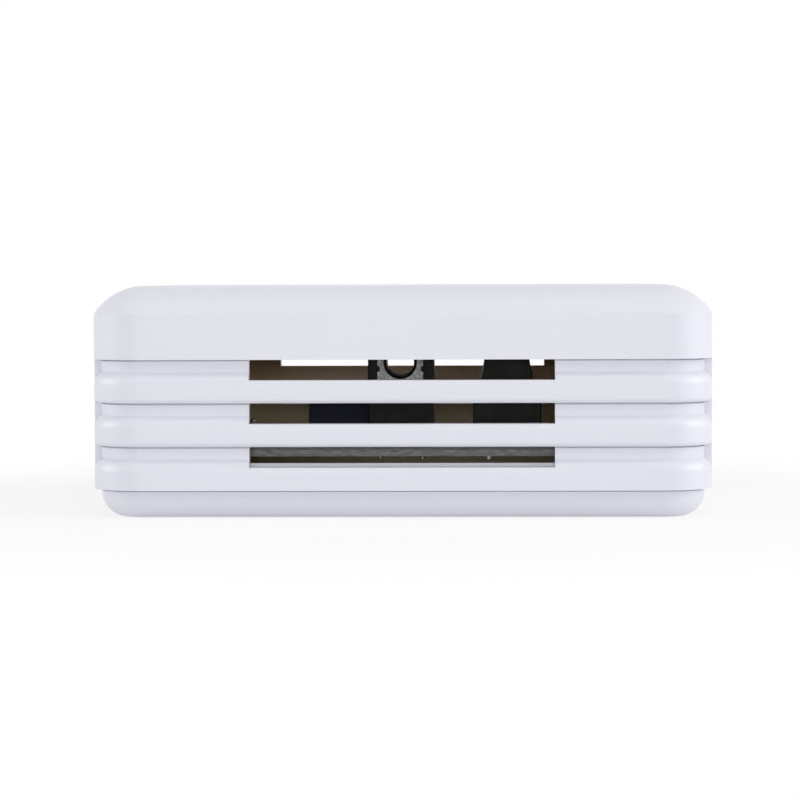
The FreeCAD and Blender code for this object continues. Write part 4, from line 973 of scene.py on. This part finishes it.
# %% [markdown]
# ## Pieces that keep their CAD shape
# Many bought-in pieces are right as they are in the CAD model, except that their edges are
# perfectly sharp. The node's own mesh is loose triangles and stays untouched. We take a copy,
# merge its points, melt the flat triangles into flat faces, and break the edges with a bevel of
# the width that the real piece has. With a width of 0 a piece stays as sharp as it is.

# %% Copies with broken edges
MERGE_DISTANCE = 0.001
FLAT_ANGLE = math.radians(0.5)


def merged_copy(node, name, edge_width=0.0, cuts=()):
    """A copy of a CAD node with whole flat faces; cuts are the y values where they are split."""
    form = bmesh.new()
    form.from_mesh(frame["nodes"][node].data)
    bmesh.ops.scale(form, verts=form.verts, vec=(1 / MM, 1 / MM, 1 / MM))
    bmesh.ops.remove_doubles(form, verts=form.verts, dist=MERGE_DISTANCE)
    for y in cuts:
        bmesh.ops.bisect_plane(form, geom=[*form.verts, *form.edges, *form.faces],
                               dist=MERGE_DISTANCE, plane_co=(0, y, 0), plane_no=(0, 1, 0))
    free_edges = [edge for edge in form.edges
                  if not any(all(abs(vert.co.y - y) < 2 * MERGE_DISTANCE for vert in edge.verts)
                             for y in cuts)]
    bmesh.ops.dissolve_limit(form, angle_limit=FLAT_ANGLE, verts=[] if cuts else form.verts,
                             edges=free_edges)
    # The faces already point the right way, also those round a closed hollow
    piece = new_piece(name, form, SLOT_OF[node], turn_outwards=False)
    if edge_width:
        finish_edges(piece, edge_width, split_faces=not cuts, full_width=True)
    return piece


EDGE_WIDTHS = {
    "terminal_housing": 0.2, "terminal_pins": 0.06, "choke_case": 0.22, "choke_potting": 0.05,
    "choke_core": 0.1, "choke_pins": 0.0, "power_module": 0.3, "power_module_pins": 0.0,
    "microcontroller_leads": 0.03, "transceiver_leads": 0.03, "regulator_leads": 0.03,
    "capacitor_leads": 0.0, "fuse_leads": 0.0, "button_housing": 0.12, "button_plunger": 0.12,
    "button_dome": 0.0, "button_legs": 0.0, "sensor_board": 0.04, "sensor_pins": 0.0,
    "sensor_chip": 0.08, "programming_header": 0.12, "header_pins": 0.0, "status_light": 0.1,
    "circuit_board": 0.0, **{f"wire_clamp_{number}": 0.12 for number in (1, 2, 3, 4)}}
# A face with round holes is cut through the middle of each, so that no piece of it has a hole
HOLE_ROWS = {"terminal_housing": [joint["pos_m"][1] / MM for joint in record["behaviour"]["joints"]
                                  if joint["name"].startswith("terminal_screw")]}
kept = {}
for node, width in EDGE_WIDTHS.items():
    kept[node] = merged_copy(node, node + "_piece", width, HOLE_ROWS.get(node, ()))
    dress(kept[node], node)
print(len(kept), "pieces keep their CAD shape")

# %% The edge of both boards
FACES_UP = 0.9
for node in ("circuit_board", "sensor_board"):
    mesh = kept[node].data
    mesh.materials.append(finishes["board_edge"].material)
    for face in mesh.polygons:
        face.material_index = 0 if abs(face.normal.z) > FACES_UP else 1
    print(node, sum(face.material_index for face in mesh.polygons), "edge faces")

# %% [markdown]
# ## Grains in the resin
# The resin's face in the choke looks like wet sand in the photograph. A bump would stay flat at
# the rim of the hole, so some of the grains are real: small balls that are half sunk in the face.
# Distribute Points on Faces scatters them with a fixed seed, and only on the faces that look out
# of the choke's window.

# %% Sand in the choke
GRAIN_SPACING, GRAIN_RADIUS, GRAIN_SEED = 0.26, 0.17, 7
SMALLEST_GRAIN, DENSEST, FACES_FRONT = 0.45, 2.0e7, 0.95
BALL_FACES = 80
grain_tree, given, grow = new_tree("resin_grains", {
    "Spacing": "Float", "Grain Radius": "Float", "Seed": "Int", "Material": "Material"})
outward = calculate_vector(grain_tree, "DOT_PRODUCT", grow("InputNormal"), (0.0, -1.0, 0.0),
                           out="Value")
facing = calculate(grain_tree, "GREATER_THAN", outward, FACES_FRONT)
scattered = grow("DistributePointsOnFaces", {
    "Mesh": given["Geometry"], "Selection": facing, "Distance Min": given["Spacing"],
    "Density Max": DENSEST, "Seed": given["Seed"]}, distribute_method="POISSON")
ball = grow("MeshIcoSphere", {"Radius": given["Grain Radius"], "Subdivisions": 2})
spread = grow("FunctionNodeRandomValue", {2: SMALLEST_GRAIN, 3: 1.0, "Seed": given["Seed"]}, 1,
              data_type="FLOAT")
grains = grow("InstanceOnPoints", {"Points": scattered, "Instance": ball, "Scale": spread})
close_tree(grain_tree, grains, given["Material"])
sand = run("choke_sand", grain_tree, kept["choke_potting"].data.copy(), "potting_grey", {
    "Spacing": GRAIN_SPACING * MM, "Grain Radius": GRAIN_RADIUS * MM, "Seed": GRAIN_SEED},
    sharp=math.pi)
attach(sand, "housing")
print("Sand has", len(sand.data.polygons) // BALL_FACES, "grains")

# %% [markdown]
# ## Wire round the choke's core
# Two coils of enamelled wire sit on the two halves of the ring core. The path of the wire is
# worked out in code: as it goes round the ring, it runs round the core's oblong section once a
# turn. A small tree sweeps a round section along any such path, and it serves for the copper
# tracks later.

# %% Wire tree and coils
wire_tree, given, grow = new_tree("swept_path", {
    "Wire Radius": "Float", "Sides": "Int", "Flatten": "Vector", "Material": "Material"})
wire_path = grow("MeshToCurve", {0: given["Geometry"]})
circle = grow("CurvePrimitiveCircle", {"Resolution": given["Sides"],
                                       "Radius": given["Wire Radius"]})
oval = grow("Transform", {"Geometry": circle, "Scale": given["Flatten"]})
swept = grow("CurveToMesh", {"Curve": wire_path, "Profile Curve": oval, "Fill Caps": True})
close_tree(wire_tree, swept, given["Material"])


def paths_mesh(name, paths):
    """A mesh of open lines in metres, from lists of places in mm."""
    mesh = bpy.data.meshes.new(name)
    places, edges = [], []
    for path in paths:
        edges += [(len(places) + i, len(places) + i + 1) for i in range(len(path) - 1)]
        places += [in_metres(place) for place in path]
    mesh.from_pydata(places, edges, [])
    return mesh


def squarish(value):
    """A square root that keeps the sign: it turns a circle into a loop with fuller corners."""
    return math.copysign(abs(value) ** 0.5, value)


CORE_CENTRE = (-0.4, -22.95, 27.3)
CORE_MIDDLE, CORE_HALF_WIDTH, CORE_HALF_DEPTH = 3.925, 0.475, 2.0
COIL_REACH, COIL_TURNS, STEPS_PER_TURN, WIRE = 66.0, 21, 12, 0.28
coils = []
for middle_angle in (0.0, 180.0):
    path = []
    for step in range(COIL_TURNS * STEPS_PER_TURN + 1):
        along = step / (COIL_TURNS * STEPS_PER_TURN)
        ring_angle = math.radians(middle_angle + COIL_REACH * (2 * along - 1))
        turn = 2 * math.pi * COIL_TURNS * along
        reach = CORE_MIDDLE + squarish(math.cos(turn)) * (CORE_HALF_WIDTH + WIRE / 2)
        across = squarish(math.sin(turn)) * (CORE_HALF_DEPTH + WIRE / 2)
        path.append((CORE_CENTRE[0] + reach * math.cos(ring_angle), CORE_CENTRE[1] + across,
                     CORE_CENTRE[2] + reach * math.sin(ring_angle)))
    coils.append(path)
coil = run("choke_coils", wire_tree, paths_mesh("choke_coils", coils), "winding_copper", {
    "Wire Radius": WIRE / 2 * MM, "Sides": 6, "Flatten": (1, 1, 1)})
dress(coil, "choke_winding")
print("Two coils of", COIL_TURNS, "turns,", len(coil.data.polygons), "faces")

# %% [markdown]
# ## Moulded chips
# A chip's body is moulded in two halves that meet at its leads, so its sides slope both ways from
# the middle, and a round dimple marks its first lead. It is a stack of four outlines with nearly
# square corners. Diodes are made the same way.

# %% Chips
CHIPS = {
    # node: bodies as (x range, y range, top), then the dimple's place and radius or None
    "microcontroller": ([((-16.7, -9.7), (-1.5, 5.5), 13.9)], (-15.8, -0.6, 0.4)),
    "transceiver": ([((5.65, 9.55), (-7.0, -2.1), 14.0)], (6.3, -6.3, 0.3)),
    "voltage_regulator": ([((4.75, 11.25), (1.5, 5.0), 14.1)], None),
    "surge_diodes": ([((16.5, 20.9), (3.0, 5.6), 14.6), ((16.5, 20.9), (6.4, 9.0), 14.6)], None),
}
CHIP_LOW = BOARD_TOP + 0.1
LOW_SLOPE, HIGH_SLOPE, SEAM_HALF, CHIP_CORNER = 0.14, 0.16, 0.05, 0.15
DIMPLE_DEPTH, DIMPLE_STEPS = 0.06, 20
CHIP_EDGE = 0.05
for node, (boxes, dimple) in CHIPS.items():
    form = bmesh.new()
    for x, y, top in boxes:
        seam = (CHIP_LOW + top) / 2
        stack([(LOW_SLOPE, CHIP_LOW), (0.0, seam - SEAM_HALF), (0.0, seam + SEAM_HALF),
               (HIGH_SLOPE, top)], form, size=size_of((x, y)), corner=CHIP_CORNER, steps=3,
              centre=middle_of((x, y)))
    chip = new_piece(node + "_body", form, "chip_black")
    if dimple:
        cut = bmesh.new()
        top = boxes[0][2]
        add_rod(cut, *dimple, top - DIMPLE_DEPTH, top + 1, steps=DIMPLE_STEPS)
        combine(chip, cut, "DIFFERENCE")
    finish_edges(chip, CHIP_EDGE)
    dress(chip, node)

# %% [markdown]
# ## Cans and drums
# The capacitors are drawn aluminium cans in a sleeve: a groove is rolled in near the board, and
# the sleeve's rim curls over the top and leaves the metal bare. The crystal is a long can with a
# flange, the inductor a square ferrite drum, and the resettable fuse a disc that was dipped in
# yellow resin.

# %% Capacitors
CAN_RIM, RIM_STEPS = 0.5, 6
# Profiles in mm: how far in from the can's radius, and a height, or a depth below the can's top
SLEEVE_FOOT = [(0.25, BOARD_TOP), (0, BOARD_TOP + 0.25), (0, 13.9), (0.3, 14.3), (0.3, 14.6),
               (0, 15.0)]
SLEEVE_CURL, CURL_DEPTH = 0.85, 0.3
TOP_PROFILE, TOP_LOW, TOP_HIGH = [(0.87, 0.29), (0.87, 0.16), (1.0, 0.1)], 0.29, 0.1
SCORE_REACH, SCORE_HALF, SCORE_DEPTH = 0.6, 0.1, 0.16
sleeve_form = bmesh.new()
tops_form = bmesh.new()
for place, (radius, top) in CAPACITORS.items():
    rim = [(radius - CAN_RIM + x, top - CAN_RIM + z)
           for x, z in arc((0, 0), CAN_RIM, 0, 90, RIM_STEPS)]
    turned([(0, BOARD_TOP), *((radius - x, z) for x, z in SLEEVE_FOOT), *rim,
            (radius - SLEEVE_CURL, top), (radius - SLEEVE_CURL, top - CURL_DEPTH),
            (0, top - CURL_DEPTH)], place, FINE_STEPS, form=sleeve_form)
    turned([(0, top - TOP_LOW), *((radius - x, top - z) for x, z in TOP_PROFILE),
            (0, top - TOP_HIGH)], place, FINE_STEPS, form=tops_form)
dress(new_piece("capacitor_sleeves", sleeve_form, "capacitor_sleeve"), "capacitors")
cans = new_piece("capacitor_tops", tops_form, "can_metal")
scores = bmesh.new()
for (x, y), (radius, top) in CAPACITORS.items():
    for half_x, half_y in ((radius * SCORE_REACH, SCORE_HALF), (SCORE_HALF, radius * SCORE_REACH)):
        add_block(scores, span(x, half_x), span(y, half_y), (top - SCORE_DEPTH, top))
combine(cans, scores, "DIFFERENCE")
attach(cans, "housing")
print(len(CAPACITORS), "capacitors")

# %% Crystal, inductor and fuse
CRYSTAL = {"size": (10.4, 4.6), "centre": (-13.2, -7.1), "corner": 2.25, "steps": 12}
CRYSTAL_FLANGE = [(0.15, BOARD_TOP + 0.05), (0.0, 12.55), (0.0, 12.85), (0.35, 12.95)]
CAN_INSET, CAN_SHOULDER, SHOULDER_HEIGHT = 0.35, 0.6, 15.3
INDUCTOR = {"size": (6.0, 6.0), "centre": (-1.0, -6.8), "corner": 1.2, "steps": 6}
INDUCTOR_LEVELS = [(0.1, BOARD_TOP), (0.0, 12.6), (0.0, 15.1), (0.25, 15.4)]
INDUCTOR_GROOVE = [(2.35, 15.15), (2.5, 15.15), (2.5, 16.0), (2.35, 16.0)]
INDUCTOR_EDGE = 0.06
FUSE_CENTRE, FUSE_RADIUS, FUSE_HALF, FUSE_ROUND = (18.7, 0.1, 16.8), 3.6, 1.5, 1.2
FUSE_ROUND_STEPS = 14
shoulder = [(CAN_INSET + CAN_SHOULDER - x, SHOULDER_HEIGHT + z)
            for x, z in arc((0, 0), CAN_SHOULDER, 0, 90, RIM_STEPS)]
form = stack([*CRYSTAL_FLANGE, *shoulder], **CRYSTAL)
dress(new_piece("crystal_can", form, "can_metal"), "crystal")

inductor = new_piece("inductor_drum", stack(INDUCTOR_LEVELS, **INDUCTOR), "ferrite")
groove = turned(INDUCTOR_GROOVE, INDUCTOR["centre"], FINE_STEPS, closed=True)
combine(inductor, groove, "DIFFERENCE")
finish_edges(inductor, INDUCTOR_EDGE, full_width=True)
dress(inductor, "power_inductor")

swell = [(FUSE_RADIUS - FUSE_ROUND + FUSE_ROUND * x, FUSE_HALF * z)
         for x, z in arc((0, 0), 1, -90, 90, FUSE_ROUND_STEPS)]
form = turned([(0, -FUSE_HALF), *swell, (0, FUSE_HALF)], steps=FINE_STEPS)
bmesh.ops.rotate(form, verts=form.verts, matrix=Matrix.Rotation(math.radians(90), 3, "X"))
bmesh.ops.translate(form, verts=form.verts, vec=FUSE_CENTRE)
dress(new_piece("fuse_disc", form, "fuse_yellow"), "resettable_fuse")
print("Crystal, inductor and fuse are in place")

# %% [markdown]
# ## Pads, small parts and tracks
# A board is mostly things that repeat: pads, solder joints, and chip parts with two tinned ends.
# One tree sets a block on each point, with the point's own size read from an attribute. The places
# come from the leads themselves, so each pad lies under its lead.

# %% Where the leads are


def islands(node):
    """The box of each loose part of a CAD node, in mm, as (x range, y range, z range)."""
    form = bmesh.new()
    form.from_mesh(frame["nodes"][node].data)
    bmesh.ops.remove_doubles(form, verts=form.verts, dist=MERGE_DISTANCE * MM)
    left = set(form.verts)
    boxes = []
    while left:
        group, open_ends = set(), [left.pop()]
        while open_ends:
            vert = open_ends.pop()
            group.add(vert)
            for other in (e.other_vert(vert) for e in vert.link_edges):
                if other in left:
                    left.discard(other)
                    open_ends.append(other)
        spots = list(zip(*(vert.co for vert in group)))
        boxes.append(tuple((min(values) / MM, max(values) / MM) for values in spots))
    form.free()
    return sorted(boxes)


print("Lead boxes:", len(islands("microcontroller_leads")))

# %% The tree for blocks on points
block_tree, given, grow = new_tree("blocks_on_points", {"Material": "Material"})
own_size = grow("InputNamedAttribute", {"Name": "size"}, data_type="FLOAT_VECTOR")
unit_block = grow("MeshCube", {"Size": (1.0, 1.0, 1.0)})
blocks = grow("InstanceOnPoints", {"Points": given["Geometry"], "Instance": unit_block,
                                   "Scale": own_size})
close_tree(block_tree, blocks, given["Material"])


def blocks_piece(name, boxes, finish_name, edge_width=0.0):
    """One piece from boxes given as (x range, y range, z range) in mm."""
    points = points_mesh(name, [middle_of(box) for box in boxes], [size_of(box) for box in boxes])
    piece = run(name, block_tree, points, finish_name, {})
    if edge_width:
        finish_edges(piece, edge_width)
    return piece


def widened(side, extra):
    return side[0] - extra, side[1] + extra


def ends_of(side, outward, inward):
    """The two ends of a range, each reaching a little outward and inward."""
    return (side[0] - outward, side[0] + inward), (side[1] - inward, side[1] + outward)


PAD_HEIGHTS = (BOARD_TOP - 0.02, BOARD_TOP + 0.03)
LEAD_PAD_EXTRA = (0.12, 0.06)
END_PAD_EXTRA, END_PAD_REACH = 0.1, (0.35, 0.3)
END_CAP, BODY_START, BODY_SINK = 0.36, 0.32, (0.05, 0.02)
DIODE_LEAD_REACH, DIODE_LEAD_SIDE, DIODE_LEAD_TOP = (0.25, 0.05), 0.5, BOARD_TOP + 1.2
BODY_EDGE, END_EDGE = 0.04, 0.05
pads = [(widened(x, LEAD_PAD_EXTRA[0]), widened(y, LEAD_PAD_EXTRA[1]), PAD_HEIGHTS)
        for node in ("microcontroller_leads", "transceiver_leads", "regulator_leads")
        for x, y, _ in islands(node)]
ends = []
SMALL_PARTS = {"chip_resistors": "resistor_bodies", "chip_capacitors": "ceramic_bodies"}
for node, piece_name in SMALL_PARTS.items():
    bodies = []
    for x, y, z in islands(node):
        bodies.append((x, widened(y, -BODY_START), (z[0] + BODY_SINK[0], z[1] - BODY_SINK[1])))
        ends += [(x, end, z) for end in ends_of(y, 0.0, END_CAP)]
        pads += [(widened(x, END_PAD_EXTRA), end, PAD_HEIGHTS)
                 for end in ends_of(y, *END_PAD_REACH)]
    dress(blocks_piece(piece_name, bodies, SLOT_OF[node], BODY_EDGE), node)
for x, y, _ in islands("surge_diodes"):
    ends += [(end, widened(y, -DIODE_LEAD_SIDE), (BOARD_TOP, DIODE_LEAD_TOP))
             for end in ends_of(x, *DIODE_LEAD_REACH)]
for name, boxes, width in (("solder_pads", pads, 0.0), ("tinned_ends", ends, END_EDGE)):
    piece = blocks_piece(name, boxes, "tinned_metal", width)
    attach(piece, "housing")
    print(name, len(boxes))

# %% Solder joints at the leads that go through the board
LEADS = ("choke_pins", "power_module_pins", "capacitor_leads", "fuse_leads", "button_legs",
         "sensor_pins", "header_pins")
JOINT_SIDES = 16
JOINT_FOOT, JOINT_TIP, JOINT_HEIGHT, PAD_THICKNESS = 0.8, 0.42, 0.7, 0.06
joints = [(*middle_of(box)[:2], BOARD_UNDER) for node in LEADS for box in islands(node)]
joint_tree, given, grow = new_tree("solder_joints", {
    "Foot Radius": "Float", "Top Radius": "Float", "Height": "Float", "Board": "Float",
    "Material": "Material"})
fillet = grow("MeshCone", {
    "Vertices": JOINT_SIDES, "Side Segments": 1, "Fill Segments": 1, "Depth": given["Height"],
    "Radius Top": given["Foot Radius"], "Radius Bottom": given["Top Radius"]})
hung = lift(joint_tree, fillet, given["Height"], -1.0)
upper_pad = grow("MeshCylinder", {"Vertices": JOINT_SIDES, "Radius": given["Foot Radius"],
                                  "Depth": PAD_THICKNESS * MM})
both = grow("JoinGeometry", {0: [hung, lift(joint_tree, upper_pad, given["Board"])]})
jointed = grow("InstanceOnPoints", {"Points": given["Geometry"], "Instance": both})
close_tree(joint_tree, jointed, given["Material"])
solder = run("solder_joints", joint_tree, points_mesh("solder_joints", joints), "tinned_metal", {
    "Foot Radius": JOINT_FOOT * MM, "Top Radius": JOINT_TIP * MM, "Height": JOINT_HEIGHT * MM,
    "Board": (BOARD_TOP - BOARD_UNDER) * MM})
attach(solder, "housing")
print(len(joints), "solder joints")

# %% [markdown]
# Copper tracks lie under the lacquer and lift it a little, so they show as paler green lines. Each
# one leaves its pad straight and turns by half right angles, as board makers draw them.

# %% Tracks
finish("track_green", (0.024, 0.15, 0.065), 0.26, drift=0.1, drift_size=5.0, grain=0.01)
ROUTES = (
    ((18.7, -10.0), (10.8, -2.65)), ((15.0, -17.8), (4.3, -3.0)), ((4.4, -5.2), (-8.4, 0.0)),
    ((4.4, -6.45), (-8.4, 1.6)), ((-15.6, -14.5), (-19.0, -2.1)), ((-13.07, -14.5), (-13.6, -9.6)),
    ((-8.4, 3.2), (5.7, 6.3)), ((-16.0, 6.8), (-33.4, 16.7)), ((-14.4, 6.8), (-35.27, 16.7)),
    ((-12.8, 6.8), (-33.0, 7.3)), ((-18.0, 1.6), (-35.27, 7.3)), ((-11.2, 6.8), (1.0, 29.8)),
    ((-10.4, 6.8), (4.6, 31.6)), ((7.6, 12.2), (34.5, 13.9)), ((7.6, 7.4), (34.5, 11.35)),
    ((10.3, 6.2), (34.5, 8.8)), ((20.45, -5.85), (34.5, 6.27)), ((18.7, 9.2), (18.7, 24.0)),
    ((18.7, 24.0), (-20.0, 24.0)), ((-20.0, 24.0), (-24.0, -10.0)))
TRACK_HEIGHT = BOARD_TOP + 0.02
TRACK_HALF, TRACK_SIDES, TRACK_FLATTEN = 0.3, 8, (1.0, 0.14, 1.0)


def bent(start, end):
    """A track between two places: straight, then slanting at half a right angle."""
    dx, dy = end[0] - start[0], end[1] - start[1]
    slant = min(abs(dx), abs(dy))
    bend = (end[0] - math.copysign(slant, dx), end[1] - math.copysign(slant, dy))
    return [(*place, TRACK_HEIGHT) for place in (start, bend, end)]


paths = [bent(start, end) for start, end in ROUTES]
tracks = run("board_tracks", wire_tree, paths_mesh("board_tracks", paths), "track_green", {
    "Wire Radius": TRACK_HALF * MM, "Sides": TRACK_SIDES, "Flatten": TRACK_FLATTEN})
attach(tracks, "housing")
print(len(paths), "tracks,", len(tracks.data.polygons), "faces")
